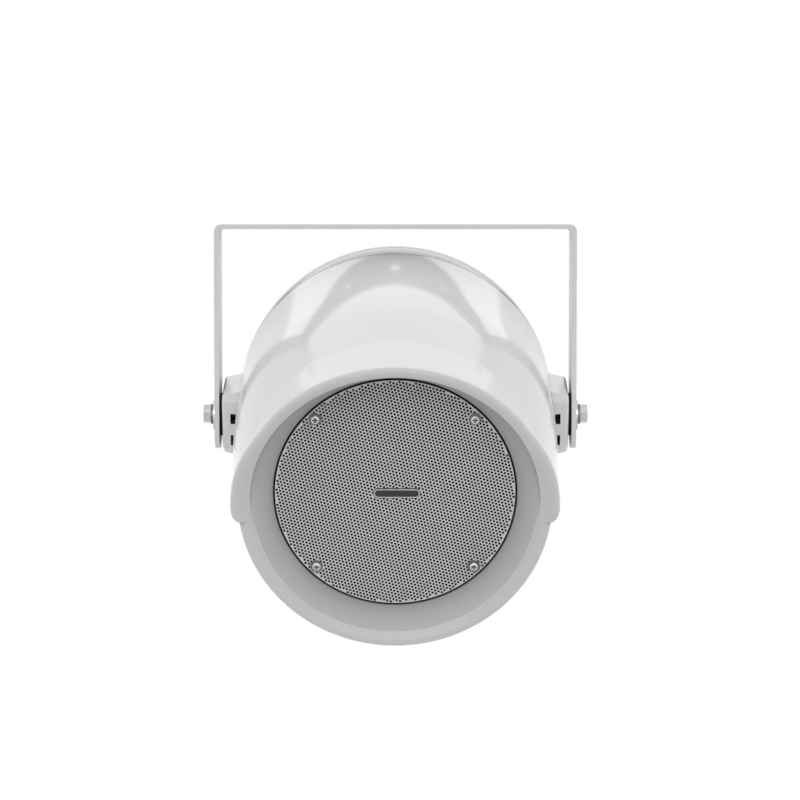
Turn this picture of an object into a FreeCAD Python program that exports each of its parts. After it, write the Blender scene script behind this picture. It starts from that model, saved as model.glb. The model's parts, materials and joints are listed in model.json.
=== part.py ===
import FreeCAD, Part
import math
import os
import Sketcher

# Sound projector: a bell-shaped plastic housing with a hood, a cone driver behind a
# round grille, and a bent strip bracket that the housing tilts in.
# Row frame: origin at the middle of the bracket's top face, +Z up, +X to the right of
# the speaker's front as seen, the grille faces -Y. The head has its own frame, with
# its origin on the tilt axis, -Y forwards along the speaker's axis and +Z up.

doc = FreeCAD.newDocument("loudspeaker")
sheet = doc.addObject("Spreadsheet::Sheet", "sizes")

# Driving sizes, in millimetres and degrees. A station is a distance in front of the tilt axis.
driving = {
    # bracket
    "strip_thickness": 3.5,
    "strip_width": 40,
    "bend_radius": 2,
    "leg_end_drop": 25,
    "leg_corner_radius": 14,
    "centre_hole_diameter": 10.5,
    "side_hole_diameter": 8.5,
    "side_hole_spacing": 100,
    "bar_room": 24,
    "rest_tilt": 17,
    # pivot hardware
    "running_clearance": 0.05,
    "fit_clearance": 0.05,
    "bolt_diameter": 8,
    "bolt_length": 20,
    "bolt_head_flats": 13,
    "bolt_head_height": 5.3,
    "bolt_head_chamfer": 0.6,
    "washer_clearance": 0.2,
    "flat_washer_diameter": 24,
    "flat_washer_thickness": 1.6,
    "spring_washer_diameter": 14.8,
    "spring_washer_thickness": 2.2,
    "spring_washer_slit": 1.6,
    "rubber_washer_diameter": 32,
    "rubber_washer_thickness": 2.4,
    "insert_diameter": 12,
    "insert_length": 10,
    # pivot blocks
    "block_length": 48,
    "block_height": 45,
    "block_chamfer": 5,
    "block_draft": 12,
    "block_standoff": 10.55,
    "block_root": 7.45,
    "block_edge_round": 3,
    "window_width": 4,
    "window_height": 8,
    "window_depth": 15,
    "window_setback": 6.2,
    "window_upper": 5.6,
    "window_lower": 11.2,
    "block_screw_spacing": 30,
    "block_screw_diameter": 4,
    "block_screw_head": 8,
    "block_screw_head_height": 2.5,
    "block_screw_length": 12,
    # shells
    "shell_taper": 9,
    "shell_wall": 4,
    "seam_setback": 25,
    "seal_thickness": 1,
    "seal_inset": 0.6,
    "taper_station": 35,
    "taper_round": 700,
    "rim_station": 179,
    "rim_width": 10.5,
    "rim_round": 4,
    "funnel_width": 13,
    "rim_inner_round": 1.5,
    "rim_recess": 5.5,
    "baffle_thickness": 4,
    "back_disc_radius": 59.3,
    "dome_back_round": 6,
    # hood
    "hood_start": 30,
    "hood_shoulder": 80,
    "hood_waist": 140,
    "hood_waist_step": 4.5,
    "hood_bend_share": 0.47,
    "hood_step": 4.2,
    "hood_ledge": 2,
    "hood_front_tilt": 12.3,
    "hood_lip_share": 0.28,
    "hood_inner_lip_round": 1.5,
    "hood_wrap": 195,
    "hood_end_share": 0.71,
    "trim_margin": 30,
    # shell screws
    "cover_boss_inset": 6,
    "cover_boss_diameter": 14,
    "cover_boss_length": 20,
    "cover_screw_diameter": 4,
    "cover_screw_grip": 8,
    "cover_screw_length": 22,
    "cover_screw_head": 8,
    "cover_screw_head_height": 2.8,
    "well_diameter": 9,
    # grille
    "grille_station": 156.5,
    "grille_overlap": 1,
    "grille_thickness": 1.2,
    "grille_gap": 1.5,
    "screen_thickness": 0.6,
    "screen_gap": 0.3,
    "badge_length": 33.5,
    "badge_shift": 1.2,
    "badge_height": 7.7,
    "badge_thickness": 0.9,
    "badge_border": 0.9,
    "badge_recess": 0.35,
    "driver_screw_inset": 4.5,
    "driver_screw_diameter": 4,
    "driver_screw_length": 14,
    "driver_screw_head": 7,
    "driver_screw_head_height": 2.2,
    "driver_screw_head_round": 1.6,
    "cross_slot_width": 0.9,
    "cross_slot_depth": 1.1,
    "cross_slot_length": 3.4,
    "screw_washer_diameter": 9,
    "screw_washer_thickness": 0.8,
    "screw_hole_clearance": 0.25,
    "small_head_round": 1,
    "driver_nut_flats": 7,
    "driver_nut_height": 3.2,
    # driver
    "gasket_thickness": 1.5,
    "driver_diameter": 166,
    "basket_wall": 1.5,
    "basket_depth": 38,
    "flange_width": 15,
    "mouth_seat": 13,
    "basket_back_radius": 44,
    "basket_throat_radius": 16,
    "basket_window_margin": 4.5,
    "basket_window_half": 17,
    "basket_window_taper": 5,
    "basket_leg_turn": 45,
    "top_plate_radius": 40,
    "top_plate_thickness": 5,
    "magnet_radius": 45,
    "magnet_bore_radius": 20,
    "magnet_thickness": 15,
    "yoke_thickness": 5,
    "pole_radius": 12.6,
    "coil_clearance": 0.4,
    "coil_wall": 0.7,
    "coil_length": 31,
    "coil_overhang": 15,
    "cone_wall": 0.8,
    "cone_depth": 23.4,
    "surround_width": 12.5,
    "dust_cap_rise": 6,
    "dust_cap_wall": 0.6,
    "soft_clearance": 0.3,
    "surround_wall": 1,
    "surround_land": 2,
    "roll_fullness": 1.1,
    "spider_setback": 8,
    "spider_wall": 0.6,
    "spider_wave": 2.4,
    "tag_board_length": 16,
    "tag_board_width": 9,
    "tag_board_thickness": 1.6,
    "tag_height": 6,
    "tag_width": 4,
    "tag_thickness": 0.8,
    "tag_spacing": 8,
    # line transformer
    "core_width": 48,
    "core_height": 40,
    "core_stack": 18,
    "core_leg": 16,
    "core_yoke": 8,
    "winding_depth": 34,
    "winding_clearance": 0.3,
    "transformer_rise": 18,
    "strap_thickness": 1.2,
    "strap_width": 12,
    "strap_foot": 14,
    "strap_screw_diameter": 3.5,
    "strap_screw_head": 7,
    "strap_screw_head_height": 2.4,
    "strap_screw_length": 9,
    "strap_boss_diameter": 10,
    "strap_boss_height": 8,
    # cable gland
    "gland_drop": 27,
    "gland_thread_diameter": 16,
    "gland_bore_diameter": 9.6,
    "gland_flats": 22,
    "gland_hex_height": 5,
    "gland_neck_length": 9,
    "gland_inner_length": 14,
    "gland_nut_diameter": 22,
    "gland_nut_length": 17,
    "gland_nut_round": 5,
    "gland_nut_mouth": 8,
    "gland_seal_wall": 1.6,
    "gland_seal_length": 10,
    "lock_nut_height": 5,
}

# Sizes and places that follow from the driving ones
derived = {
    "driver_radius": "driver_diameter / 2",
    "grille_radius": "driver_radius + grille_overlap",
    "pocket_radius": "grille_radius + grille_gap",
    "mouth_radius": "driver_radius - mouth_seat",
    "rim_inner_radius": "pocket_radius + funnel_width",
    "rim_radius": "rim_inner_radius + rim_width",
    "shell_radius": "rim_radius + shell_taper",
    "pivot_drop": "shell_radius + bar_room",
    "rubber_inner": "shell_radius + block_standoff",
    "leg_inner": "rubber_inner + rubber_washer_thickness + running_clearance",
    "bracket_half": "leg_inner + strip_thickness",
    "bend_outer_radius": "bend_radius + strip_thickness",
    "leg_bottom": "pivot_drop + leg_end_drop",
    "bolt_radius": "bolt_diameter / 2",
    "pivot_hole_radius": "bolt_radius + running_clearance",
    "washer_bore_radius": "bolt_radius + washer_clearance",
    "flat_washer_inner": "bracket_half + running_clearance",
    "spring_washer_inner": "flat_washer_inner + flat_washer_thickness",
    "bolt_head_inner": "spring_washer_inner + spring_washer_thickness",
    "bolt_head_outer": "bolt_head_inner + bolt_head_height",
    "bolt_tip": "bolt_head_inner - bolt_length",
    "insert_inner": "rubber_inner - insert_length",
    "insert_bore_radius": "bolt_radius + fit_clearance",
    "insert_seat_radius": "insert_diameter / 2 + fit_clearance",
    "block_seat_radius": "shell_radius + fit_clearance",
    "block_depth": "block_standoff + block_root",
    "window_outer": "rubber_inner - window_setback",
    "window_inner": "window_outer - window_width",
    "window_floor": "block_length / 2 - window_depth",
    "block_screw_hole_radius": "block_screw_diameter / 2 + screw_hole_clearance",
    "block_screw_pilot_radius": "block_screw_diameter / 2 + fit_clearance",
    "shell_inner_radius": "shell_radius - shell_wall",
    "block_screw_reach": "block_screw_spacing / 2 + block_screw_head / 2",
    "block_screw_seat": "sqrt(shell_inner_radius^2 - block_screw_reach^2)",
    "rim_inner_station": "rim_station - rim_recess",
    "rim_back_station": "rim_inner_station - shell_wall",
    "rim_wall_radius": "rim_radius - shell_wall",
    "rim_skin_radius": "rim_inner_radius + shell_wall / 2",
    "funnel_back_radius": "pocket_radius + shell_wall",
    "screen_station": "grille_station - grille_thickness",
    "seat_station": "screen_station - screen_thickness",
    "baffle_back_station": "seat_station - baffle_thickness",
    "hood_radius": "rim_radius + hood_step",
    "hood_waist_radius": "rim_radius + hood_waist_step",
    "hood_inner_radius": "rim_inner_radius + hood_ledge",
    "hood_wall": "hood_radius - hood_inner_radius",
    "hood_lip_round": "hood_lip_share * hood_wall",
    "hood_end_round": "hood_end_share * hood_wall",
    "hood_half_wrap": "hood_wrap / 2",
    "hood_fall_run": "hood_waist - hood_shoulder",
    "hood_fall": "atan((shell_radius - hood_waist_radius) / hood_fall_run)",
    "hood_flare": "atan((hood_radius - hood_waist_radius) / (hood_reach - hood_waist))",
    "hood_shoulder_round": "hood_bend_share * hood_fall_run / tan(hood_fall / 2)",
    "hood_waist_round": "hood_bend_share * hood_fall_run / tan((hood_fall + hood_flare) / 2)",
    "hood_reach": "rim_station + hood_radius * tan(hood_front_tilt) + trim_margin",
    "lip_cut_radius": "hood_radius + trim_margin",
    "lip_cut_lead": "(lip_cut_radius - rim_radius) * rim_recess / rim_width",
    "cover_front": "seam_setback + seal_thickness",
    "dome_depth": "sqrt(shell_radius^2 - back_disc_radius^2)",
    "dome_back": "cover_front + dome_depth",
    "dome_inner_back": "dome_back - shell_wall",
    "back_inner_radius": "sqrt(shell_inner_radius^2 - (dome_depth - shell_wall)^2)",
    "seal_outer_radius": "shell_radius - seal_inset",
    "seal_inner_radius": "shell_inner_radius + seal_inset",
    "cover_screw_offset": "(shell_inner_radius - cover_boss_inset) * sqrt(0.5)",
    "cover_boss_radius": "cover_boss_diameter / 2",
    "cover_hole_radius": "cover_screw_diameter / 2 + screw_hole_clearance",
    "cover_pilot_radius": "cover_screw_diameter / 2 + fit_clearance",
    "cover_head_seat": "cover_front + cover_screw_grip",
    "well_radius": "well_diameter / 2",
    "screen_radius": "pocket_radius - screen_gap",
    "badge_end": "badge_length / 2 - badge_height / 2",
    "badge_front": "grille_station + badge_thickness",
    "badge_radius": "badge_height / 2",
    "badge_field_radius": "badge_radius - badge_border",
    "driver_screw_offset": "(driver_radius - driver_screw_inset) * sqrt(0.5)",
    "driver_screw_hole": "driver_screw_diameter / 2 + screw_hole_clearance",
    "driver_head_station": "grille_station + screw_washer_thickness",
    "gasket_back_station": "baffle_back_station - gasket_thickness",
    "flange_back_station": "gasket_back_station - basket_wall",
    "basket_rim_radius": "driver_radius - flange_width",
    "basket_window_outer": "basket_rim_radius - basket_window_margin",
    "basket_window_inner": "basket_back_radius + basket_window_margin",
    "basket_back_station": "gasket_back_station - basket_depth",
    "basket_rim_inner": "basket_rim_radius - basket_wall",
    "basket_back_inner": "basket_back_radius - basket_wall",
    "plate_station": "basket_back_station - basket_wall",
    "magnet_station": "plate_station - top_plate_thickness",
    "yoke_station": "magnet_station - magnet_thickness",
    "yoke_back_station": "yoke_station - yoke_thickness",
    "coil_inner_radius": "pole_radius + coil_clearance",
    "coil_outer_radius": "coil_inner_radius + coil_wall",
    "gap_radius": "coil_outer_radius + coil_clearance",
    "coil_back_station": "plate_station - coil_overhang",
    "coil_front_station": "coil_back_station + coil_length",
    "neck_radius": "coil_outer_radius + fit_clearance",
    "cone_radius": "mouth_radius - surround_width",
    "cone_front_station": "coil_front_station + cone_depth",
    "cap_front": "coil_front_station + fit_clearance + dust_cap_rise",
    "spider_station": "coil_front_station - spider_setback",
    "spider_inner": "coil_outer_radius + soft_clearance",
    "basket_slope": "(basket_rim_inner - basket_back_inner) / basket_depth",
    "spider_rise": "spider_station - spider_wall - basket_back_station",
    "spider_outer": "basket_back_inner - soft_clearance + spider_rise * basket_slope",
    "spider_span": "spider_outer - spider_inner",
    "bolt_head_corner": "bolt_head_flats / sqrt(3) + fit_clearance",
    "block_screw_end": "block_screw_seat + block_screw_length + fit_clearance",
    "cover_pilot_depth": "cover_screw_length - cover_screw_grip - seal_thickness + cover_screw_diameter / 2",
    "driver_nut_bore": "driver_screw_diameter / 2 + fit_clearance",
    "basket_wall_length": "flange_back_station - plate_station",
    "board_station": "(flange_back_station + plate_station) / 2",
    "board_radius": "(basket_rim_radius + basket_back_radius) / 2 + fit_clearance",
    "cap_base": "coil_front_station + fit_clearance",
    "cap_sphere_radius": "(dust_cap_rise^2 + coil_outer_radius^2) / (2 * dust_cap_rise)",
    "cap_inner_rise": "dust_cap_rise - dust_cap_wall",
    "cap_inner_radius": "coil_outer_radius - dust_cap_wall",
    "cap_inner_sphere_radius": "(cap_inner_rise^2 + cap_inner_radius^2) / (2 * cap_inner_rise)",
    "surround_edge": "mouth_radius - soft_clearance",
    "roll_outer": "surround_edge - surround_land",
    "roll_inner": "cone_radius + soft_clearance",
    "roll_radius": "(roll_outer - roll_inner) / 2 * roll_fullness",
    "roll_inner_radius": "(roll_outer - roll_inner - 2 * surround_wall) / 2 * roll_fullness",
    "winding_height": "core_height - 2 * core_yoke - 2 * winding_clearance",
    "winding_back": "dome_inner_back - fit_clearance",
    "core_middle": "winding_back - winding_depth / 2",
    "core_front": "core_middle - core_stack / 2",
    "strap_inner": "core_width / 2 + fit_clearance",
    "strap_outer": "strap_inner + strap_thickness",
    "strap_top_inner": "transformer_rise + core_height / 2 + fit_clearance",
    "strap_top_outer": "strap_top_inner + strap_thickness",
    "strap_foot_end": "strap_outer + strap_foot",
    "strap_reach": "strap_outer + strap_foot / 2",
    "strap_seat": "dome_inner_back - strap_boss_height",
    "strap_depth": "strap_seat - core_front",
    "strap_pilot_radius": "strap_screw_diameter / 2 + fit_clearance",
    "strap_hole_radius": "strap_screw_diameter / 2 + screw_hole_clearance",
    "gland_hole_radius": "gland_thread_diameter / 2 + fit_clearance",
    "gland_neck_end": "gland_hex_height + gland_neck_length",
    "gland_tube_length": "gland_neck_end + gland_inner_length",
    "gland_seal_radius": "gland_bore_diameter / 2 - fit_clearance",
    "gland_seal_bore": "gland_seal_radius - gland_seal_wall",
    "gland_nut_front": "gland_hex_height + soft_clearance",
    "gland_nut_back": "gland_nut_front + gland_nut_length",
    "gland_nut_step": "gland_neck_end + soft_clearance",
}
# the spider's crests are evenly spaced from the coil to the basket
spider_steps = 6
for step in range(spider_steps + 1):
    derived[f"spider_ring_{step}"] = f"spider_inner + spider_span * {step} / {spider_steps}"

row = 0
for alias, number in driving.items():
    row += 1
    sheet.set(f"A{row}", alias)
    sheet.set(f"B{row}", str(number))
    sheet.setAlias(f"B{row}", alias)
for alias in derived:
    row += 1
    sheet.set(f"A{row}", alias)
    sheet.setAlias(f"B{row}", alias)
for index, rule in enumerate(derived.values()):
    sheet.set(f"B{len(driving) + index + 1}", "=" + rule)
doc.recompute()

axis_x = FreeCAD.Vector(1, 0, 0)
axis_y = FreeCAD.Vector(0, 1, 0)
axis_z = FreeCAD.Vector(0, 0, 1)


def amount(text):
    """Value of a sum such as "- leg_bottom + bolt_radius", or of a share such as "bolt_head_flats/2"."""
    total = 0.0
    sign = 1.0
    for word in text.split():
        if word in "+-":
            sign = -1.0 if word == "-" else 1.0
            continue
        name, _, divisor = word.partition("/")
        value = sheet.get(name) if name[0].isalpha() else float(name)
        total += sign * value / float(divisor or 1)
        sign = 1.0
    return total


def formula(text):
    """The same sum as an expression that reads the sheet."""
    return " ".join("sizes." + word if word[0].isalpha() else word for word in text.split())


def bind(thing, path, text):
    thing.setExpression(path, formula(text))


def new_body(label):
    body = doc.addObject("PartDesign::Body", label)
    body.AllowCompound = True
    return body


def new_sketch(body, plane, offset):
    """Sketch on one of the body's origin planes, moved along the plane's normal by offset."""
    number = len([thing for thing in body.Group if thing.isDerivedFrom("Sketcher::SketchObject")])
    sketch = body.newObject("Sketcher::SketchObject", f"{body.Name}_sketch_{number}")
    support = [thing for thing in body.Origin.OriginFeatures if thing.Role == plane][0]
    sketch.AttachmentSupport = [(support, "")]
    sketch.MapMode = "FlatFace"
    sketch.AttachmentOffset = FreeCAD.Placement(axis_z * amount(offset), FreeCAD.Rotation())
    if offset != "0":
        bind(sketch, "AttachmentOffset.Base.z", offset)
    return sketch


def pin(sketch, element, position, across, up):
    """Tie a point of the sketch to two sums of sizes."""
    for kind, axis, text in (("DistanceX", -2, across), ("DistanceY", -1, up)):
        if text == "0":
            sketch.addConstraint(Sketcher.Constraint("PointOnObject", element, position, axis))
            continue
        number = sketch.addConstraint(Sketcher.Constraint(kind, -1, 1, element, position, amount(text)))
        bind(sketch, f"Constraints[{number}]", text)


def set_radius(sketch, element, text):
    number = sketch.addConstraint(Sketcher.Constraint("Radius", element, amount(text)))
    bind(sketch, f"Constraints[{number}]", text)


def add_arc(sketch, begin, finish, radius, turn):
    """Arc from begin to finish, to the left where turn is 1 and to the right where it is -1."""
    chord = finish - begin
    left = FreeCAD.Vector(-chord.y, chord.x, 0).normalize()
    height = math.sqrt(max(radius ** 2 - (chord.Length / 2) ** 2, 0))
    centre = (begin + finish) / 2 + left * height * turn
    first, last = (begin, finish) if turn > 0 else (finish, begin)
    angles = [math.atan2(point.y - centre.y, point.x - centre.x) for point in (first, last)]
    element = sketch.addGeometry(Part.ArcOfCircle(Part.Circle(centre, axis_z, radius), *angles), False)
    return (element, 1, 2) if turn > 0 else (element, 2, 1)


def outline(body, plane, corners, offset="0"):
    """Closed outline. A corner is (across, up), with a third entry for a radius that rounds it, or
    with ("left", radius) or ("right", radius) where the edge to the next corner is an arc. The
    radius "tangent" makes that arc a half circle that runs on from the edge before it."""
    sketch = new_sketch(body, plane, offset)
    points = [FreeCAD.Vector(amount(corner[0]), amount(corner[1]), 0) for corner in corners]
    count = len(corners)
    extras = [corner[2] if len(corner) > 2 else None for corner in corners]
    arrivals = list(points)
    departures = list(points)
    for index, extra in enumerate(extras):
        if isinstance(extra, str):
            back = (points[index - 1] - points[index]).normalize()
            ahead = (points[(index + 1) % count] - points[index]).normalize()
            reach = amount(extra) / math.tan(back.getAngle(ahead) / 2)
            arrivals[index] = points[index] + back * reach
            departures[index] = points[index] + ahead * reach
    edges = []
    for index, extra in enumerate(extras):
        begin, finish = departures[index], arrivals[(index + 1) % count]
        if isinstance(extra, tuple):
            turn = 1 if extra[0] == "left" else -1
            half_circle = extra[1] == "tangent"
            radius = (finish - begin).Length / 2 if half_circle else amount(extra[1])
            edges.append(add_arc(sketch, begin, finish, radius, turn))
            if not half_circle:
                set_radius(sketch, edges[-1][0], extra[1])
        else:
            edges.append((sketch.addGeometry(Part.LineSegment(begin, finish), False), 1, 2))
    for index, extra in enumerate(extras):
        before, after = edges[index - 1], edges[index]
        across, up = corners[index][:2]
        if not isinstance(extra, str):
            meeting = "Tangent" if extra and extra[1] == "tangent" else "Coincident"
            sketch.addConstraint(Sketcher.Constraint(meeting, before[0], before[2], after[0], after[1]))
            pin(sketch, after[0], after[1], across, up)
            continue
        back, ahead = points[index] - arrivals[index], departures[index] - points[index]
        turn = 1 if back.x * ahead.y - back.y * ahead.x > 0 else -1
        arc = add_arc(sketch, arrivals[index], departures[index], amount(extra), turn)
        corner = sketch.addGeometry(Part.Point(points[index]), True)
        pin(sketch, corner, 1, across, up)
        sketch.addConstraint(Sketcher.Constraint("PointOnObject", corner, 1, before[0]))
        sketch.addConstraint(Sketcher.Constraint("PointOnObject", corner, 1, after[0]))
        sketch.addConstraint(Sketcher.Constraint("Tangent", before[0], before[2], arc[0], arc[1]))
        sketch.addConstraint(Sketcher.Constraint("Tangent", arc[0], arc[2], after[0], after[1]))
        set_radius(sketch, arc[0], extra)
    return sketch


def circles(body, plane, centres, radii, offset="0"):
    """Circles of each radius about each centre."""
    sketch = new_sketch(body, plane, offset)
    for across, up in centres:
        for radius in radii:
            middle = FreeCAD.Vector(amount(across), amount(up), 0)
            element = sketch.addGeometry(Part.Circle(middle, axis_z, amount(radius)), False)
            pin(sketch, element, 3, across, up)
            set_radius(sketch, element, radius)
    return sketch


def hexagon(body, plane, flats, offset="0"):
    """Hexagon about the origin, drawn as a tangent polygon round a circle across its flats."""
    sketch = new_sketch(body, plane, offset)
    corner = amount(flats) / math.sqrt(3)
    points = [FreeCAD.Rotation(axis_z, 60 * step).multVec(axis_y * corner) for step in range(6)]
    guide = sketch.addGeometry(Part.Circle(FreeCAD.Vector(), axis_z, amount(flats) / 2), True)
    sketch.addConstraint(Sketcher.Constraint("Coincident", guide, 3, -1, 1))
    number = sketch.addConstraint(Sketcher.Constraint("Diameter", guide, amount(flats)))
    bind(sketch, f"Constraints[{number}]", flats)
    lines = [Part.LineSegment(points[step - 1], points[step]) for step in range(6)]
    sides = [sketch.addGeometry(line, False) for line in lines]
    for step, side in enumerate(sides):
        sketch.addConstraint(Sketcher.Constraint("Coincident", sides[step - 1], 2, side, 1))
        sketch.addConstraint(Sketcher.Constraint("Tangent", side, guide))
        if step:
            sketch.addConstraint(Sketcher.Constraint("Equal", sides[0], side))
    sketch.addConstraint(Sketcher.Constraint("PointOnObject", sides[0], 2, -2))
    return sketch


def add_feature(body, kind, sketch):
    feature = body.newObject("PartDesign::" + kind, f"{body.Name}_{kind}_{len(body.Group)}")
    feature.Profile = sketch
    body.Tip = feature
    return feature


def revolve(body, sketch, kind="Revolution", wrap=None):
    """Turn a sketch about its horizontal axis, all the way or through wrap degrees about its plane."""
    feature = add_feature(body, kind, sketch)
    feature.ReferenceAxis = (sketch, ["H_Axis"])
    feature.Angle = 360
    if wrap:
        feature.Midplane = True
        bind(feature, "Angle", wrap)
    doc.recompute()
    return feature


def pad(body, sketch, length, backwards=False):
    feature = add_feature(body, "Pad", sketch)
    feature.Reversed = backwards
    bind(feature, "Length", length)
    doc.recompute()
    return feature


def pocket(body, sketch, length=None, backwards=False, through=False):
    """Cut a sketch to a depth, or right through to one side, or to both with through set."""
    volume = body.Shape.Volume
    feature = add_feature(body, "Pocket", sketch)
    feature.Reversed = backwards
    if through:
        feature.SideType = "Symmetric"
    if length:
        bind(feature, "Length", length)
    else:
        feature.Type = "ThroughAll"
    doc.recompute()
    if body.Shape.Volume > volume - 1e-6:
        raise RuntimeError(f"{feature.Name} cuts nothing")
    return feature


def fillet(body, radius, chosen):
    """Round the edges whose middle point passes the test."""
    base = body.Tip
    names = []
    for number, edge in enumerate(base.Shape.Edges, 1):
        middle = edge.valueAt((edge.FirstParameter + edge.LastParameter) / 2)
        if chosen(middle, edge):
            names.append(f"Edge{number}")
    feature = body.newObject("PartDesign::Fillet", f"{body.Name}_Fillet_{len(body.Group)}")
    feature.Base = (base, names)
    bind(feature, "Radius", radius)
    body.Tip = feature
    doc.recompute()
    return feature


def four(name):
    """The four points at plus and minus one distance both ways."""
    return [(name, name), ("- " + name, name), ("- " + name, "- " + name), (name, "- " + name)]


head_place = FreeCAD.Placement(axis_z * -sheet.get("pivot_drop"),
                               FreeCAD.Rotation(axis_x, sheet.get("rest_tilt")))
left_turn = FreeCAD.Placement(FreeCAD.Vector(), FreeCAD.Rotation(axis_z, 180))
nodes = {}


def keep(body, place=head_place):
    """Set a finished piece in its place, as a node under its own name."""
    body.Placement = place
    nodes[body.Label] = body
    return body


def group(label, pattern, places):
    """One node of like pieces, each the pattern set at a point of the head's frame."""
    doc.recompute()
    copies = []
    for place in places:
        copy = pattern.Shape.copy()
        copy.Placement = place.multiply(copy.Placement)
        copies.append(copy)
    feature = doc.addObject("Part::Feature", label)
    feature.Shape = Part.makeCompound(copies)
    return keep(feature)


def at(across, back, up, turn=None):
    place = FreeCAD.Placement()
    place.Base = FreeCAD.Vector(amount(across), amount(back), amount(up))
    place.Rotation = turn or FreeCAD.Rotation()
    return place


def make_bracket():
    body = new_body("mounting_bracket")
    half, inner = "bracket_half", "leg_inner"
    corners = [("- " + half, "- leg_bottom"), ("- " + half, "0", "bend_outer_radius"),
               (half, "0", "bend_outer_radius"), (half, "- leg_bottom"), (inner, "- leg_bottom"),
               (inner, "- strip_thickness", "bend_radius"),
               ("- " + inner, "- strip_thickness", "bend_radius"), ("- " + inner, "- leg_bottom")]
    strip = pad(body, outline(body, "XZ_Plane", corners), "strip_width")
    strip.SideType = "Symmetric"
    doc.recompute()
    bottom = -amount("leg_bottom")
    fillet(body, "leg_corner_radius",
           lambda middle, edge: abs(middle.z - bottom) < 0.01 and abs(edge.BoundBox.XLength) > 1)
    pocket(body, circles(body, "YZ_Plane", [("0", "- pivot_drop")], ["pivot_hole_radius"]), through=True)
    pocket(body, circles(body, "XY_Plane", [("0", "0")], ["centre_hole_diameter/2"]), through=True)
    side = "side_hole_spacing/2"
    pocket(body, circles(body, "XY_Plane", [(side, "0"), ("- " + side, "0")], ["side_hole_diameter/2"]),
           through=True)
    keep(body, FreeCAD.Placement())


def make_front_housing():
    body = new_body("front_housing")
    # the hood wraps the upper half, as a thick half shell with rounded ends
    hood = [("- hood_start", "hood_inner_radius"),
            ("- hood_start", "shell_radius"),
            ("- hood_shoulder", "shell_radius", "hood_shoulder_round"),
            ("- hood_waist", "hood_waist_radius", "hood_waist_round"),
            ("- hood_reach", "hood_radius"),
            ("- hood_reach", "hood_inner_radius")]
    revolve(body, outline(body, "YZ_Plane", hood), wrap="hood_wrap")
    core = amount("hood_inner_radius + shell_wall")
    half_wrap = amount("hood_half_wrap")

    def on_end(middle, edge):
        turn = math.degrees(math.atan2(abs(middle.x), middle.z))
        along = abs(edge.tangentAt(edge.FirstParameter).y) > 0.5
        return along and abs(turn - half_wrap) < 0.01 and math.hypot(middle.x, middle.z) > core

    fillet(body, "hood_end_round", on_end)
    # the hood's front carries the rim's sloping face on, leaned forward so that the top overhangs
    front = outline(body, "YZ_Plane", [("rim_recess", "0"),
                                       ("rim_recess", "rim_inner_radius"),
                                       ("- lip_cut_lead", "lip_cut_radius"),
                                       ("- hood_reach", "lip_cut_radius"),
                                       ("- hood_reach", "0")])
    front.AttachmentOffset = FreeCAD.Placement(axis_x * -amount("rim_station"),
                                               FreeCAD.Rotation(axis_z, amount("hood_front_tilt")))
    bind(front, "AttachmentOffset.Base.x", "- rim_station")
    bind(front, "AttachmentOffset.Rotation.Angle", "hood_front_tilt")
    revolve(body, front, kind="Groove")
    slope = amount("rim_recess") / amount("rim_width")

    def on_lip(middle, edge):
        leaned = front.Placement.inverse().multVec(middle)
        ahead = slope * (math.hypot(leaned.y, leaned.z) - amount("rim_radius"))
        return abs(leaned.x + ahead) < 0.05 and edge.Length > 20

    def is_outer(middle):
        return math.hypot(middle.x, middle.z) > core

    fillet(body, "hood_lip_round", lambda middle, edge: on_lip(middle, edge) and is_outer(middle))
    fillet(body, "hood_inner_lip_round", lambda middle, edge: on_lip(middle, edge) and not is_outer(middle))
    # the shell of the bell, with its rim, the funnel and the baffle behind the grille
    section = [("seam_setback", "shell_radius"),
               ("- taper_station", "shell_radius", "taper_round"),
               ("- rim_station", "rim_radius", "rim_round"),
               ("- rim_inner_station", "rim_inner_radius", "rim_inner_round"),
               ("- grille_station", "pocket_radius"),
               ("- seat_station", "pocket_radius"),
               ("- seat_station", "mouth_radius"),
               ("- baffle_back_station", "mouth_radius"),
               ("- baffle_back_station", "funnel_back_radius"),
               ("- rim_back_station", "rim_skin_radius"),
               ("- rim_back_station", "rim_wall_radius"),
               ("- taper_station", "shell_inner_radius"),
               ("seam_setback", "shell_inner_radius")]
    revolve(body, outline(body, "YZ_Plane", section))
    # what the hood leaves inside the shell is cut out
    hollow = [("seam_setback", "0"),
              ("seam_setback", "shell_inner_radius"),
              ("- taper_station", "shell_inner_radius"),
              ("- rim_back_station", "rim_wall_radius"),
              ("- rim_back_station", "rim_skin_radius"),
              ("- baffle_back_station", "funnel_back_radius"),
              ("- baffle_back_station", "0")]
    revolve(body, outline(body, "YZ_Plane", hollow), kind="Groove")
    # bosses for the cover screws, joined to the wall at the seam
    bosses = circles(body, "XZ_Plane", four("cover_screw_offset"), ["cover_boss_radius"], "- seam_setback")
    pad(body, bosses, "cover_boss_length")
    pilots = circles(body, "XZ_Plane", four("cover_screw_offset"), ["cover_pilot_radius"], "- seam_setback")
    pocket(body, pilots, "cover_pilot_depth", backwards=True)
    pocket(body, circles(body, "XZ_Plane", four("driver_screw_offset"), ["driver_screw_hole"]), through=True)
    spread = "block_screw_spacing/2"
    holes = [("0", spread), ("0", "- " + spread)]
    pocket(body, circles(body, "YZ_Plane", holes, ["block_screw_hole_radius"]), through=True)
    keep(body)


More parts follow.
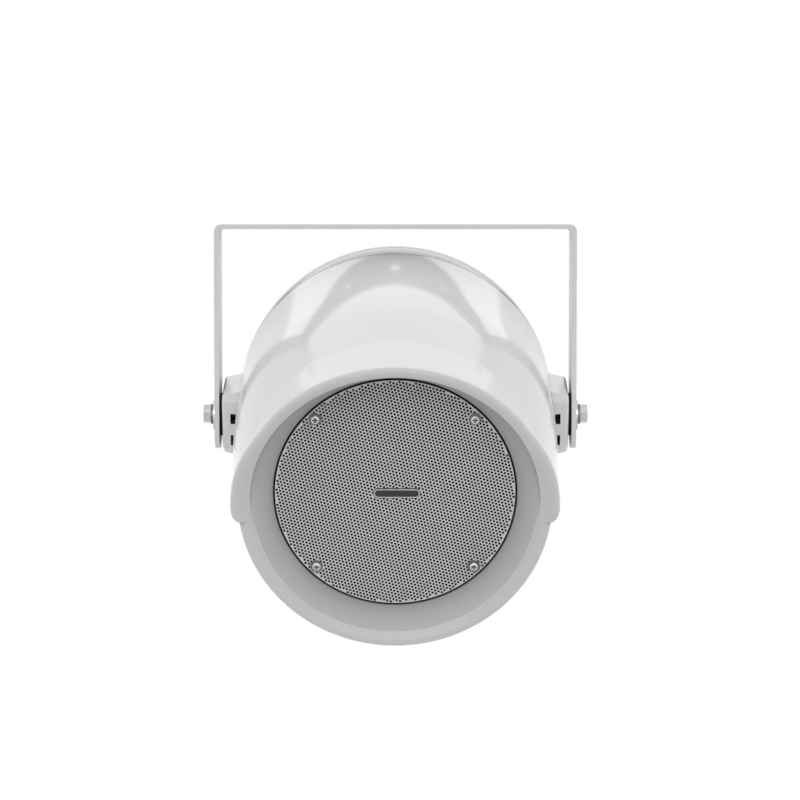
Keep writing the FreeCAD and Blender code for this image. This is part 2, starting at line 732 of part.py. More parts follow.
def make_rear_cover():
    body = new_body("rear_cover")
    section = [("cover_front", "shell_inner_radius"),
               ("cover_front", "shell_radius", ("right", "shell_radius")),
               ("dome_back", "back_disc_radius"),
               ("dome_back", "0"),
               ("dome_inner_back", "0"),
               ("dome_inner_back", "back_inner_radius", ("left", "shell_inner_radius"))]
    revolve(body, outline(body, "YZ_Plane", section))
    back = amount("dome_back")
    fillet(body, "dome_back_round", lambda middle, edge: abs(middle.y - back) < 0.01 and edge.Length > 100)
    # screw tubes from the seam to the dome, cut off flush with it, with a well for each head
    tubes = circles(body, "XZ_Plane", four("cover_screw_offset"), ["cover_boss_radius"], "- cover_front")
    pad(body, tubes, "dome_depth", backwards=True)
    outside = [("cover_front", "shell_radius", ("right", "shell_radius")),
               ("dome_back", "back_disc_radius"),
               ("dome_back + trim_margin", "back_disc_radius"),
               ("dome_back + trim_margin", "shell_radius + trim_margin"),
               ("cover_front", "shell_radius + trim_margin")]
    revolve(body, outline(body, "YZ_Plane", outside), kind="Groove")
    wells = circles(body, "XZ_Plane", four("cover_screw_offset"), ["well_radius"], "- cover_head_seat")
    pocket(body, wells)
    pocket(body, circles(body, "XZ_Plane", four("cover_screw_offset"), ["cover_hole_radius"]), through=True)
    # bosses for the transformer's strap, and the cable entry
    feet = [("strap_reach", "transformer_rise"), ("- strap_reach", "transformer_rise")]
    bosses = circles(body, "XZ_Plane", feet, ["strap_boss_diameter/2"], "- dome_inner_back")
    pad(body, bosses, "strap_boss_height")
    pilots = circles(body, "XZ_Plane", feet, ["strap_pilot_radius"], "- strap_seat")
    pocket(body, pilots, "strap_screw_length")
    pocket(body, circles(body, "XZ_Plane", [("0", "- gland_drop")], ["gland_hole_radius"]))
    keep(body)


def make_ring(label, inner, outer, first, last):
    """Plain ring about the speaker's axis, between two places along it."""
    body = new_body(label)
    revolve(body, outline(body, "YZ_Plane", [(first, inner), (first, outer), (last, outer), (last, inner)]))
    return keep(body)


def make_pivot_block(label, place):
    """Eight-sided block that flares towards the shell, with an insert bore and four core windows."""
    body = new_body(label)
    length, height = "block_length/2", "block_height/2"
    ends = [(length + " - block_chamfer", height), (length, height + " - block_chamfer")]
    corners = []
    for across, up in ((1, 1), (1, -1), (-1, -1), (-1, 1)):
        for end in ends if across == up else reversed(ends):
            corners.append((signed(end[0], across), signed(end[1], up)))
    flare = pad(body, outline(body, "YZ_Plane", corners, "rubber_inner"), "block_depth", backwards=True)
    bind(flare, "TaperAngle", "block_draft")
    doc.recompute()
    outer = amount("rubber_inner")
    fillet(body, "block_edge_round", lambda middle, edge: abs(middle.x - outer) < 0.01)
    pocket(body, circles(body, "XZ_Plane", [("0", "0")], ["block_seat_radius"]), through=True)
    centre = [("0", "0")]
    seat = circles(body, "YZ_Plane", centre, ["insert_seat_radius"], "rubber_inner")
    pocket(body, seat, "insert_length")
    pocket(body, circles(body, "YZ_Plane", centre, ["washer_bore_radius"], "rubber_inner"))
    for middle in ("window_upper", "- window_lower"):
        low, high = f"{middle} - window_height/2", f"{middle} + window_height/2"
        near, far = "window_inner", "window_outer"
        frame = [(near, low), (far, low), (far, high), (near, high)]
        pocket(body, outline(body, "XZ_Plane", frame, "window_floor"), backwards=True)
        pocket(body, outline(body, "XZ_Plane", frame, "- window_floor"))
    spread = "block_screw_spacing/2"
    pilots = [("0", spread), ("0", "- " + spread)]
    pocket(body, circles(body, "YZ_Plane", pilots, ["block_screw_pilot_radius"], "block_screw_end"))
    keep(body, place)


def signed(text, sign):
    """A sum of sizes, or the same with every sign turned."""
    if sign > 0:
        return text
    turned = {"+": "-", "-": "+"}
    return "- " + " ".join(turned.get(word, word) for word in text.split())


def make_pivot_ring(label, place, bore, outer, inner_face, thickness):
    """Washer or insert on the tilt axis."""
    body = new_body(label)
    pad(body, circles(body, "YZ_Plane", [("0", "0")], [bore, outer], inner_face), thickness)
    return keep(body, place)


def make_spring_washer(label, place):
    body = make_pivot_ring(label, place, "washer_bore_radius", "spring_washer_diameter/2",
                           "spring_washer_inner", "spring_washer_thickness")
    half, top = "spring_washer_slit/2", "spring_washer_diameter"
    slit = [("- " + half, "0"), (half, "0"), (half, top), ("- " + half, top)]
    pocket(body, outline(body, "YZ_Plane", slit), through=True)


def make_pivot_bolt(label, place):
    body = new_body(label)
    pad(body, hexagon(body, "YZ_Plane", "bolt_head_flats", "bolt_head_inner"), "bolt_head_height")
    pad(body, circles(body, "YZ_Plane", [("0", "0")], ["bolt_radius"], "bolt_tip"), "bolt_length")
    crown = [("bolt_head_outer", "bolt_head_flats/2"),
             ("bolt_head_outer", "bolt_head_corner"),
             ("bolt_head_outer - bolt_head_chamfer", "bolt_head_corner")]
    revolve(body, outline(body, "XZ_Plane", crown), kind="Groove")
    keep(body, place)


def make_disc(label, radius, offset, thickness):
    """Disc across the speaker's axis, with a hole for each driver screw."""
    body = new_body(label)
    pad(body, circles(body, "XZ_Plane", [("0", "0")], [radius], offset), thickness)
    pocket(body, circles(body, "XZ_Plane", four("driver_screw_offset"), ["driver_screw_hole"]), through=True)
    keep(body)


def make_badge():
    """Bare plate with round ends and a raised border."""
    body = new_body("badge")

    def stadium(radius, offset):
        end, bulge = "badge_end", ("right", "tangent")
        corners = [("- " + end, radius), (end, radius, bulge),
                   (end, "- " + radius), ("- " + end, "- " + radius, bulge)]
        return outline(body, "XZ_Plane", corners, offset)

    pad(body, stadium("badge_radius", "grille_station"), "badge_thickness")
    pocket(body, stadium("badge_field_radius", "badge_front"), "badge_recess")
    keep(body, head_place.multiply(at("badge_shift", "0", "0")))


def screw_pattern(name, diameter, length, head, head_height, head_round):
    """Pan head screw with the seat of its head at the origin and its shank along +Y."""
    body = new_body(name + "_pattern")
    section = [("- " + head_height, "0"), ("- " + head_height, head + "/2", head_round), ("0", head + "/2"),
               ("0", diameter + "/2"), (length, diameter + "/2"), (length, "0")]
    revolve(body, outline(body, "YZ_Plane", section))
    long, short = "cross_slot_length/2", "cross_slot_width/2"
    for across, up in ((long, short), (short, long)):
        slot = [(across, up), ("- " + across, up), ("- " + across, "- " + up), (across, "- " + up)]
        pocket(body, outline(body, "XZ_Plane", slot, head_height), "cross_slot_depth")
    return body


def ring_pattern(name, bore, outer, thickness):
    """Washer in front of the origin, about the Y axis."""
    body = new_body(name + "_pattern")
    pad(body, circles(body, "XZ_Plane", [("0", "0")], [bore, outer]), thickness)
    return body


def nut_pattern(name, flats, bore, height):
    """Hexagon nut behind the origin, about the Y axis."""
    body = new_body(name + "_pattern")
    pad(body, hexagon(body, "XZ_Plane", flats), height, backwards=True)
    pocket(body, circles(body, "XZ_Plane", [("0", "0")], [bore]), through=True)
    return body


def make_screws():
    """The groups of like fasteners."""
    front = [at(across, "- driver_head_station", up) for across, up in four("driver_screw_offset")]
    group("grille_screws", screw_pattern("grille_screw", "driver_screw_diameter", "driver_screw_length",
          "driver_screw_head", "driver_screw_head_height", "driver_screw_head_round"), front)
    front = [at(across, "- grille_station", up) for across, up in four("driver_screw_offset")]
    group("grille_washers", ring_pattern("grille_washer", "driver_screw_hole", "screw_washer_diameter/2",
          "screw_washer_thickness"), front)
    behind = [at(across, "- flange_back_station", up) for across, up in four("driver_screw_offset")]
    group("driver_nuts", nut_pattern("driver_nut", "driver_nut_flats", "driver_nut_bore",
          "driver_nut_height"), behind)
    turn = FreeCAD.Rotation(axis_z, 180)
    wells = [at(across, "cover_head_seat", up, turn) for across, up in four("cover_screw_offset")]
    group("cover_screws", screw_pattern("cover_screw", "cover_screw_diameter", "cover_screw_length",
          "cover_screw_head", "cover_screw_head_height", "small_head_round"), wells)
    inside = []
    for side, angle in (("block_screw_seat", -90), ("- block_screw_seat", 90)):
        for up in ("block_screw_spacing/2", "- block_screw_spacing/2"):
            inside.append(at(side, "0", up, FreeCAD.Rotation(axis_z, angle)))
    group("block_screws", screw_pattern("block_screw", "block_screw_diameter", "block_screw_length",
          "block_screw_head", "block_screw_head_height", "small_head_round"), inside)
    feet = [at(across, "strap_seat - strap_thickness", "transformer_rise")
            for across in ("strap_reach", "- strap_reach")]
    group("transformer_screws", screw_pattern("transformer_screw", "strap_screw_diameter",
          "strap_screw_length", "strap_screw_head", "strap_screw_head_height", "small_head_round"), feet)


def make_driver_frame():
    """Pressed basket: a flange, a conical wall with four windows and a back plate with a throat."""
    body = new_body("driver_frame")
    section = [("- gasket_back_station", "basket_rim_inner"),
               ("- gasket_back_station", "driver_radius"),
               ("- flange_back_station", "driver_radius"),
               ("- flange_back_station", "basket_rim_radius"),
               ("- plate_station", "basket_back_radius"),
               ("- plate_station", "basket_throat_radius"),
               ("- basket_back_station", "basket_throat_radius"),
               ("- basket_back_station", "basket_back_inner")]
    revolve(body, outline(body, "YZ_Plane", section))
    half, inner, outer = "basket_window_half", "basket_window_inner", "basket_window_outer"
    opening = [("- " + half, outer), (half, outer), (half + " - basket_window_taper", inner),
               ("- " + half + " + basket_window_taper", inner)]
    window = pocket(body, outline(body, "XZ_Plane", opening), through=True)
    windows = body.newObject("PartDesign::PolarPattern", "basket_windows")
    windows.Originals = [window]
    windows.Axis = ([thing for thing in body.Origin.OriginFeatures if thing.Role == "Y_Axis"][0], [""])
    windows.Occurrences = 4
    body.Tip = windows
    doc.recompute()
    pocket(body, circles(body, "XZ_Plane", four("driver_screw_offset"), ["driver_screw_hole"]), through=True)
    keep(body)


def make_gasket():
    body = make_ring("driver_gasket", "mouth_radius", "driver_radius - soft_clearance",
                     "- baffle_back_station", "- gasket_back_station")
    pocket(body, circles(body, "XZ_Plane", four("driver_screw_offset"), ["driver_screw_hole"]), through=True)


def make_motor():
    make_ring("top_plate", "gap_radius", "top_plate_radius", "- plate_station", "- magnet_station")
    make_ring("magnet", "magnet_bore_radius", "magnet_radius", "- magnet_station", "- yoke_station")
    body = new_body("yoke")
    section = [("- plate_station", "0"), ("- plate_station", "pole_radius"),
               ("- yoke_station", "pole_radius"), ("- yoke_station", "top_plate_radius"),
               ("- yoke_back_station", "top_plate_radius"), ("- yoke_back_station", "0")]
    revolve(body, outline(body, "YZ_Plane", section))
    keep(body)


def make_moving_parts():
    make_ring("voice_coil", "coil_inner_radius", "coil_outer_radius",
              "- coil_front_station", "- coil_back_station")
    body = new_body("cone")
    section = [("- coil_front_station", "neck_radius"), ("- cone_front_station", "cone_radius"),
               ("- cone_front_station + cone_wall", "cone_radius"),
               ("- coil_front_station + cone_wall", "neck_radius")]
    revolve(body, outline(body, "YZ_Plane", section))
    keep(body)
    body = new_body("dust_cap")
    section = [("- cap_base", "coil_outer_radius", ("left", "cap_sphere_radius")), ("- cap_front", "0"),
               ("- cap_front + dust_cap_wall", "0", ("right", "cap_inner_sphere_radius")),
               ("- cap_base", "coil_outer_radius - dust_cap_wall")]
    revolve(body, outline(body, "YZ_Plane", section))
    keep(body)


def make_suspension():
    """The half-roll surround on the flange and the corrugated spider on the coil."""
    body = new_body("surround")
    seat, top = "- gasket_back_station", "- gasket_back_station - surround_wall"
    section = [(seat, "surround_edge"), (top, "surround_edge"),
               (top, "roll_outer", ("left", "roll_radius")), (top, "roll_inner"),
               (seat, "roll_inner"), (seat, "roll_inner + surround_wall", ("right", "roll_inner_radius")),
               (seat, "roll_outer - surround_wall")]
    revolve(body, outline(body, "YZ_Plane", section))
    keep(body)
    body = new_body("spider")
    crests = [("- spider_station" + (" - spider_wave" if step % 2 else ""), f"spider_ring_{step}")
              for step in range(spider_steps + 1)]
    backs = [(back + " + spider_wall", radius) for back, radius in reversed(crests)]
    revolve(body, outline(body, "YZ_Plane", crests + backs))
    keep(body)


def make_tag_board():
    """Terminal strip on one leg of the basket, square to the leg's slope."""
    body = new_body("terminal_strip")
    length, width = "tag_board_length/2", "tag_board_width/2"
    board = [("- " + length, "- " + width), (length, "- " + width), (length, width), ("- " + length, width)]
    pad(body, outline(body, "YZ_Plane", board), "tag_board_thickness")
    for middle in ("tag_spacing/2", "- tag_spacing/2"):
        first, last = middle + " - tag_thickness/2", middle + " + tag_thickness/2"
        low, high = "- tag_width/2", "tag_width/2"
        tag = [(first, low), (last, low), (last, high), (first, high)]
        pad(body, outline(body, "YZ_Plane", tag, "tag_board_thickness"), "tag_height")
    slope = math.atan2(amount("basket_rim_radius - basket_back_radius"), amount("basket_wall_length"))
    middle = at("board_radius", "- board_station", "0", FreeCAD.Rotation(axis_z, math.degrees(slope)))
    leg = at("0", "0", "0", FreeCAD.Rotation(axis_y, amount("basket_leg_turn")))
    keep(body, head_place.multiply(leg).multiply(middle))


def make_transformer():
    """Laminated core with two windows, its winding, and a strap bent over three sides."""
    place = head_place.multiply(at("0", "core_middle", "transformer_rise"))
    body = new_body("transformer_core")
    half, high = "core_width/2", "core_height/2"
    block = [("- " + half, "- " + high), (half, "- " + high), (half, high), ("- " + half, high)]
    pad(body, outline(body, "XZ_Plane", block), "core_stack").SideType = "Symmetric"
    doc.recompute()
    near, far, rise = "core_leg/2", "core_width/2 - core_yoke", "core_height/2 - core_yoke"
    for sign in (1, -1):
        window = [(signed(near, sign), signed(rise, -1)), (signed(far, sign), signed(rise, -1)),
                  (signed(far, sign), rise), (signed(near, sign), rise)]
        pocket(body, outline(body, "XZ_Plane", window), through=True)
    keep(body, place)
    body = new_body("transformer_winding")
    out, deep = "core_width/2 - core_yoke - winding_clearance", "winding_depth/2"
    coil = [(signed(out, -1), "- " + deep), (out, "- " + deep), (out, deep), (signed(out, -1), deep)]
    pad(body, outline(body, "XY_Plane", coil), "winding_height").SideType = "Symmetric"
    doc.recompute()
    out, deep = "core_leg/2 + winding_clearance", "core_stack/2 + winding_clearance"
    hole = [(signed(out, -1), signed(deep, -1)), (out, signed(deep, -1)),
            (out, deep), (signed(out, -1), deep)]
    pocket(body, outline(body, "XY_Plane", hole), through=True)
    keep(body, place)
    body = new_body("transformer_strap")
    inner, outer, low = "strap_inner", "strap_outer", "transformer_rise - core_height/2"
    top, cap = "strap_top_inner", "strap_top_outer"
    strap = [("- " + outer, low), ("- " + outer, cap), (outer, cap), (outer, low),
             (inner, low), (inner, top), ("- " + inner, top), ("- " + inner, low)]
    pad(body, outline(body, "XZ_Plane", strap, "- strap_seat"), "strap_depth")
    end, down, up = "strap_foot_end", "transformer_rise - strap_width/2", "transformer_rise + strap_width/2"
    for sign in (1, -1):
        near, far = signed(inner, sign), signed(end, sign)
        foot = [(near, down), (far, down), (far, up), (near, up)]
        pad(body, outline(body, "XZ_Plane", foot, "- strap_seat"), "strap_thickness")
    holes = [("strap_reach", "transformer_rise"), ("- strap_reach", "transformer_rise")]
    pocket(body, circles(body, "XZ_Plane", holes, ["strap_hole_radius"]), through=True)
    keep(body)


def make_gland():
    """Cable gland in the back of the dome: body, lock nut inside, seal and dome nut."""
    place = head_place.multiply(at("0", "dome_back", "- gland_drop"))
    centre = [("0", "0")]
    body = new_body("gland_body")
    pad(body, hexagon(body, "XZ_Plane", "gland_flats"), "gland_hex_height", backwards=True)
    tube = circles(body, "XZ_Plane", centre, ["gland_thread_diameter/2"], "- gland_neck_end")
    pad(body, tube, "gland_tube_length")
    pocket(body, circles(body, "XZ_Plane", centre, ["gland_bore_diameter/2"]), through=True)
    keep(body, place)
    body = new_body("gland_lock_nut")
    pad(body, hexagon(body, "XZ_Plane", "gland_flats", "shell_wall"), "lock_nut_height")
    pocket(body, circles(body, "XZ_Plane", centre, ["gland_hole_radius"]), through=True)
    keep(body, place)
    body = new_body("gland_seal")
    seal = circles(body, "XZ_Plane", centre, ["gland_seal_bore", "gland_seal_radius"], "- gland_neck_end")
    pad(body, seal, "gland_seal_length")
    keep(body, place)
    body = new_body("gland_nut")
    section = [("gland_nut_front", "gland_hole_radius"), ("gland_nut_front", "gland_nut_diameter/2"),
               ("gland_nut_back", "gland_nut_diameter/2", "gland_nut_round"),
               ("gland_nut_back", "gland_nut_mouth/2"), ("gland_nut_step", "gland_nut_mouth/2"),
               ("gland_nut_step", "gland_hole_radius")]
    revolve(body, outline(body, "YZ_Plane", section))
    keep(body, place)


make_bracket()
make_front_housing()
make_rear_cover()
make_ring("cover_seal", "seal_inner_radius", "seal_outer_radius", "seam_setback", "cover_front")
for side, place in (("right", head_place), ("left", head_place.multiply(left_turn))):
    make_pivot_block("pivot_block_" + side, place)
    make_pivot_ring("threaded_insert_" + side, place, "insert_bore_radius", "insert_diameter/2",
                    "insert_inner", "insert_length")
    make_pivot_ring("rubber_washer_" + side, place, "washer_bore_radius", "rubber_washer_diameter/2",
                    "rubber_inner", "rubber_washer_thickness")
    make_pivot_ring("flat_washer_" + side, place, "washer_bore_radius", "flat_washer_diameter/2",
                    "flat_washer_inner", "flat_washer_thickness")
    make_spring_washer("spring_washer_" + side, place)
    make_pivot_bolt("pivot_bolt_" + side, place)
make_disc("grille", "grille_radius", "screen_station", "grille_thickness")
make_disc("dust_screen", "screen_radius", "seat_station", "screen_thickness")
make_badge()
make_screws()
make_gasket()
make_driver_frame()
make_motor()
make_moving_parts()
make_suspension()
make_tag_board()
make_transformer()
make_gland()

doc.recompute()
for thing in doc.Objects:
    if "Invalid" in thing.State or "Error" in thing.State:
        raise RuntimeError(f"{thing.Name} failed: {thing.State}")
for name, piece in nodes.items():
    if piece.Shape.isNull() or not piece.Shape.isValid() or not piece.Shape.Solids:
        raise RuntimeError(f"{name} has no valid shape")

os.makedirs("parts", exist_ok=True)
for name, piece in nodes.items():
    piece.Shape.exportStep(f"parts/{name}.step")
    print(name, len(piece.Shape.Solids), round(piece.Shape.Volume / 1000, 3), "cm3")
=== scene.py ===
import bmesh
import bpy
import json
import math
import numpy as np
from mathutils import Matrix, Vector


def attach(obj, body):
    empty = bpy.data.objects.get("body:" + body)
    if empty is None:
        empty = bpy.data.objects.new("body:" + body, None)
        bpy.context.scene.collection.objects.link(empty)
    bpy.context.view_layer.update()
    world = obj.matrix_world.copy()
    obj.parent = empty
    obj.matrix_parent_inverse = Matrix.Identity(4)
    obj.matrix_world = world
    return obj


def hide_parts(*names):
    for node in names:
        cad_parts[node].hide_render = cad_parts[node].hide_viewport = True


# Sound projector in a tilting bracket. The head's pieces are worked out in its own frame in
# millimetres: origin on the tilt axis, station forwards along the axis of the driver, +Z up.
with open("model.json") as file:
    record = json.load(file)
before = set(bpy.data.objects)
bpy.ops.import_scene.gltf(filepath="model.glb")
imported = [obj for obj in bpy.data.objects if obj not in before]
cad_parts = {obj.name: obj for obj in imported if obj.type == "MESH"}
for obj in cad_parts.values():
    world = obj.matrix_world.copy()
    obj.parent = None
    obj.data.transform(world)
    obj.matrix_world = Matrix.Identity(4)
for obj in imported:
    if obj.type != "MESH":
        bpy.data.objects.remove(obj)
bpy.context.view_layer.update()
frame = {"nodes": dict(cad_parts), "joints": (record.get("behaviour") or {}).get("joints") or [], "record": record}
record = frame["record"]
bodyOf = {node: body for body, nodes in record["behaviour"]["bodies"].items() for node in nodes}
slotOf = {part["node"]: part["material_slot"] for part in record["subparts"]}
tiltJoint = [joint for joint in frame["joints"] if joint["name"] == "tilt"][0]
pivot = np.array(tiltJoint["pos_m"])
restTilt = math.radians(17)
print("frame loaded:", len(frame["nodes"]), "nodes")


# sRGB hex to linear red, green, blue, alpha
def hexColor(text):
    parts = [int(text[i:i + 2], 16) / 255 for i in (0, 2, 4)]
    return [part / 12.92 if part <= 0.04045 else ((part + 0.055) / 1.055) ** 2.4 for part in parts] + [1.0]


# adds a node, sets its properties and socket values, and links outputs to its inputs
def addNode(tree, kind, values=None, links=None, **settings):
    node = tree.nodes.new(kind)
    for name, value in settings.items():
        setattr(node, name, value)
    for name, value in (values or {}).items():
        node.inputs[name].default_value = value
    for name, output in (links or {}).items():
        tree.links.new(output, node.inputs[name])
    return node


# new material with a Principled shader set to plain numbers, and its Object coordinates
def startMaterial(name, **sockets):
    material = bpy.data.materials.new(name)
    material.use_nodes = True
    tree = material.node_tree
    shader = tree.nodes["Principled BSDF"]
    for socket, value in sockets.items():
        shader.inputs[socket.replace("_", " ")].default_value = value
    place = addNode(tree, "ShaderNodeTexCoord").outputs["Object"]
    return material, tree, shader, place


grainLook = {"fineDetail": 3.0, "broadness": 40, "broadDetail": 2.0, "toneSpan": (0.3, 0.7), "bump": 0.4}


# moulded, coated or cast surface: noise of one grain in mm lifts it by a depth in mm, and noise that is
# many times broader moves its colour between two hex tones and its roughness by a spread
def grainMaterial(name, dark, light, grain, depth, roughness, spread, **sockets):
    material, tree, shader, place = startMaterial(name, **sockets)
    fine = addNode(tree, "ShaderNodeTexNoise",
                   {"Scale": 1000 / grain, "Detail": grainLook["fineDetail"]}, {"Vector": place})
    broadGrain = grain * grainLook["broadness"]
    broad = addNode(tree, "ShaderNodeTexNoise",
                    {"Scale": 1000 / broadGrain, "Detail": grainLook["broadDetail"]}, {"Vector": place})
    ramp = addNode(tree, "ShaderNodeValToRGB", {}, {"Fac": broad.outputs["Fac"]})
    for stop, position, tone in zip(ramp.color_ramp.elements, grainLook["toneSpan"], (dark, light)):
        stop.position = position
        stop.color = hexColor(tone)
    rough = addNode(tree, "ShaderNodeMapRange", {"To Min": roughness - spread, "To Max": roughness + spread},
                    {"Value": broad.outputs["Fac"]})
    bump = addNode(tree, "ShaderNodeBump", {"Strength": grainLook["bump"], "Distance": depth / 1000},
                   {"Height": fine.outputs["Fac"]})
    tree.links.new(ramp.outputs["Color"], shader.inputs["Base Color"])
    tree.links.new(rough.outputs["Result"], shader.inputs["Roughness"])
    tree.links.new(bump.outputs["Normal"], shader.inputs["Normal"])
    return material


weaveLook = {"waveTurn": 20, "bump": 0.6}  # a wave node turns through 20 radians per unit of its scale


# woven thread: two sets of waves across each other, with a thread's spacing in mm in each half wave
def wovenMaterial(name, dark, light, spacing, depth, roughness):
    material, tree, shader, place = startMaterial(name, Roughness=roughness)
    scale = 1000 / spacing / weaveLook["waveTurn"] * math.pi
    across, along = [addNode(tree, "ShaderNodeTexWave", {"Scale": scale}, {"Vector": place},
                             bands_direction=way) for way in ("X", "Z")]
    weave = addNode(tree, "ShaderNodeMath", {}, {0: across.outputs["Fac"], 1: along.outputs["Fac"]},
                    operation="MULTIPLY")
    ramp = addNode(tree, "ShaderNodeValToRGB", {}, {"Fac": weave.outputs["Value"]})
    for stop, tone in zip(ramp.color_ramp.elements, (dark, light)):
        stop.color = hexColor(tone)
    bump = addNode(tree, "ShaderNodeBump", {"Strength": weaveLook["bump"], "Distance": depth / 1000},
                   {"Height": weave.outputs["Value"]})
    tree.links.new(ramp.outputs["Color"], shader.inputs["Base Color"])
    tree.links.new(bump.outputs["Normal"], shader.inputs["Normal"])
    return material


# painted shade: takes a material's colour down to a darker tone where its surface is closed in within a reach
# in mm, by its own piece alone or by its neighbours as well
def paintShadeInHollows(material, hollow):
    tree = material.node_tree
    openness = addNode(tree, "ShaderNodeAmbientOcclusion", {"Distance": hollow["reach"] / 1000},
                       only_local=hollow["alone"]).outputs["AO"]
    tone = addNode(tree, "ShaderNodeMapRange", {"From Min": hollow["closed"], "From Max": hollow["open"],
                                                "To Min": hollow["shadeTone"]}, {"Value": openness})
    color = tree.nodes["Principled BSDF"].inputs["Base Color"]
    plain = color.links[0].from_socket
    shadedColor = addNode(tree, "ShaderNodeVectorMath", {}, {0: plain, "Scale": tone.outputs[0]}, operation="SCALE")
    tree.links.new(shadedColor.outputs["Vector"], color)


# Each finish below gives its dark and light tone, grain, depth, roughness and spread, in that order.

# glossy moulded ABS: an even light grey with a faint orange peel and clear reflections, with painted
# shade darkening its colour where the moulding turns inwards
glossyAbs = {"dark": "e4e4e4", "light": "e7e7e6", "grain": 3.0, "depth": 0.004, "roughness": 0.11,
             "spread": 0.02, "IOR": 1.5, "Specular_IOR_Level": 0.3}
housingAbs = grainMaterial("glossyMouldedAbs", **glossyAbs)
paintShadeInHollows(housingAbs, {"reach": 70.0, "closed": 0.7, "open": 0.985, "shadeTone": 0.3, "alone": True})
# the same plastic on the rear cover, with painted shade darkening its colour where the bracket's bar closes it in
coverAbs = grainMaterial("glossyCoverAbs", **glossyAbs)
paintShadeInHollows(coverAbs, {"reach": 70.0, "closed": 0.5, "open": 0.97, "shadeTone": 0.5, "alone": False})
# the same plastic on the pivot blocks, moulded in one even, paler tone, with painted shade darkening its windows
blockAbs = grainMaterial("paleMouldedAbs", "eeeeed", "f1f1f0", 3.0, 0.004, 0.2, 0.03, IOR=1.5)
paintShadeInHollows(blockAbs, {"reach": 12.0, "closed": 0.25, "open": 0.65, "shadeTone": 0.12, "alone": False})
# powder coat on steel strip: satin, with a fine pebbled skin
bracketCoat = grainMaterial("greyPowderCoat", "ececeb", "efefee", 0.7, 0.03, 0.42, 0.05, IOR=1.5)
# bright zinc plate: pale metal with a soft bloom
brightZinc = {"dark": "c2c2c2", "light": "d6d6d5", "grain": 0.5, "depth": 0.01, "roughness": 0.14,
              "spread": 0.05, "Metallic": 1.0}
zincPlate = grainMaterial("brightZincPlate", **brightZinc)
# the same plate on the small screws, with painted shade darkening the drive recesses
screwZinc = grainMaterial("zincScrewHeads", **brightZinc)
paintShadeInHollows(screwZinc, {"reach": 3.0, "closed": 0.4, "open": 0.85, "shadeTone": 0.1, "alone": True})
# spring steel under zinc: darker and duller than the bolts, so that the rings stand out
springSteel = grainMaterial("platedSpringSteel", "6e6e6e", "868685", 0.5, 0.01, 0.38, 0.06, Metallic=1.0)
# pressed black rubber: matt, with a slight bloom
blackRubber = grainMaterial("blackRubber", "1d1d1d", "2a2a2a", 0.4, 0.03, 0.75, 0.08)
# stove-enamelled perforated sheet: satin light grey
grilleEnamel = grainMaterial("greyStoveEnamel", "e2e2e1", "e7e7e6", 0.5, 0.01, 0.38, 0.05)
# punched steel inside the holes: a bare cut edge, dull, painted nearly black as shade in the holes
cutEdgeHoleShade = grainMaterial("punchedSteelEdgeHoleShade", "0e0e0e", "151516", 0.4, 0.01, 0.6, 0.08)
# black acoustic cloth behind the sheet
screenCloth = wovenMaterial("blackAcousticCloth", "060606", "101010", 0.5, 0.05, 0.95)
# satin nickel border of the plate, and its dark enamel field; the same dark finish is painted shadow on the low
# skirt round the plate's edge
badgeNickel = grainMaterial("satinNickel", "dcdcda", "e6e6e4", 0.5, 0.005, 0.3, 0.05, Metallic=1.0)
enamelAndEdgeShadow = grainMaterial("darkEnamelAndEdgeShadow", "2a2b2c", "323334", 1.0, 0.004, 0.4, 0.05)
# turned brass insert
insertBrass = grainMaterial("turnedBrass", "b08a3e", "c9a252", 0.5, 0.01, 0.3, 0.05, Metallic=1.0)
# black dip coat on the pressed basket
basketCoat = grainMaterial("blackDipCoat", "1b1b1c", "242425", 0.6, 0.02, 0.4, 0.08)
# sintered ferrite ring: dark, dry and slightly grainy
ferrite = grainMaterial("sinteredFerrite", "26262a", "333338", 0.3, 0.02, 0.55, 0.08)
# plated soft iron of the motor and the strap
softIron = grainMaterial("platedSoftIron", "9a9a9c", "b2b2b4", 0.5, 0.01, 0.35, 0.08, Metallic=1.0)
# varnished laminations of the core
coreIron = grainMaterial("varnishedLaminations", "4a4744", "5b5753", 0.5, 0.03, 0.45, 0.08, Metallic=0.6)
# enamelled copper of the coil
coilCopper = grainMaterial("enamelledCopper", "a5532f", "bd6a41", 0.3, 0.02, 0.35, 0.06, Metallic=1.0)
# pressed paper pulp of the cone: felted and matt
conePaper = grainMaterial("pressedPaperPulp", "1e1e1e", "2c2b2a", 0.8, 0.08, 0.85, 0.05)
# resin-dipped cotton of the spider
spiderCotton = wovenMaterial("resinDippedCotton", "a8824c", "c9a56c", 0.6, 0.06, 0.8)
# polyester tape round the winding
windingTape = grainMaterial("polyesterTape", "c7a23a", "d6b44e", 1.0, 0.01, 0.3, 0.05)
# moulded polyamide of the gland: matt grey
glandNylon = grainMaterial("mouldedPolyamide", "8d8f90", "989a9b", 0.6, 0.02, 0.5, 0.06)
# laminated fibre of the terminal strip
fibreBoard = grainMaterial("laminatedFibre", "5e3d22", "70492b", 0.5, 0.03, 0.6, 0.06)

finishOf = {
    "bracket_paint": bracketCoat, "housing_plastic": housingAbs, "zinc_steel": zincPlate,
    "black_rubber": blackRubber, "insert_brass": insertBrass, "grille_metal": grilleEnamel,
    "screen_cloth": screenCloth, "badge_metal": badgeNickel, "basket_paint": basketCoat,
    "magnet_ferrite": ferrite, "motor_steel": softIron, "core_steel": coreIron, "coil_copper": coilCopper,
    "cone_paper": conePaper, "spider_cloth": spiderCotton, "winding_tape": windingTape,
    "gland_plastic": glandNylon, "board_fibre": fibreBoard,
}
# nodes whose finish differs from the rest of their slot
ownFinish = {
    "rear_cover": coverAbs, "pivot_block_left": blockAbs, "pivot_block_right": blockAbs,
    "spring_washer_left": springSteel, "spring_washer_right": springSteel, "grille_washers": springSteel,
    "grille_screws": screwZinc, "cover_screws": screwZinc,
}
print("materials:", len(bpy.data.materials))


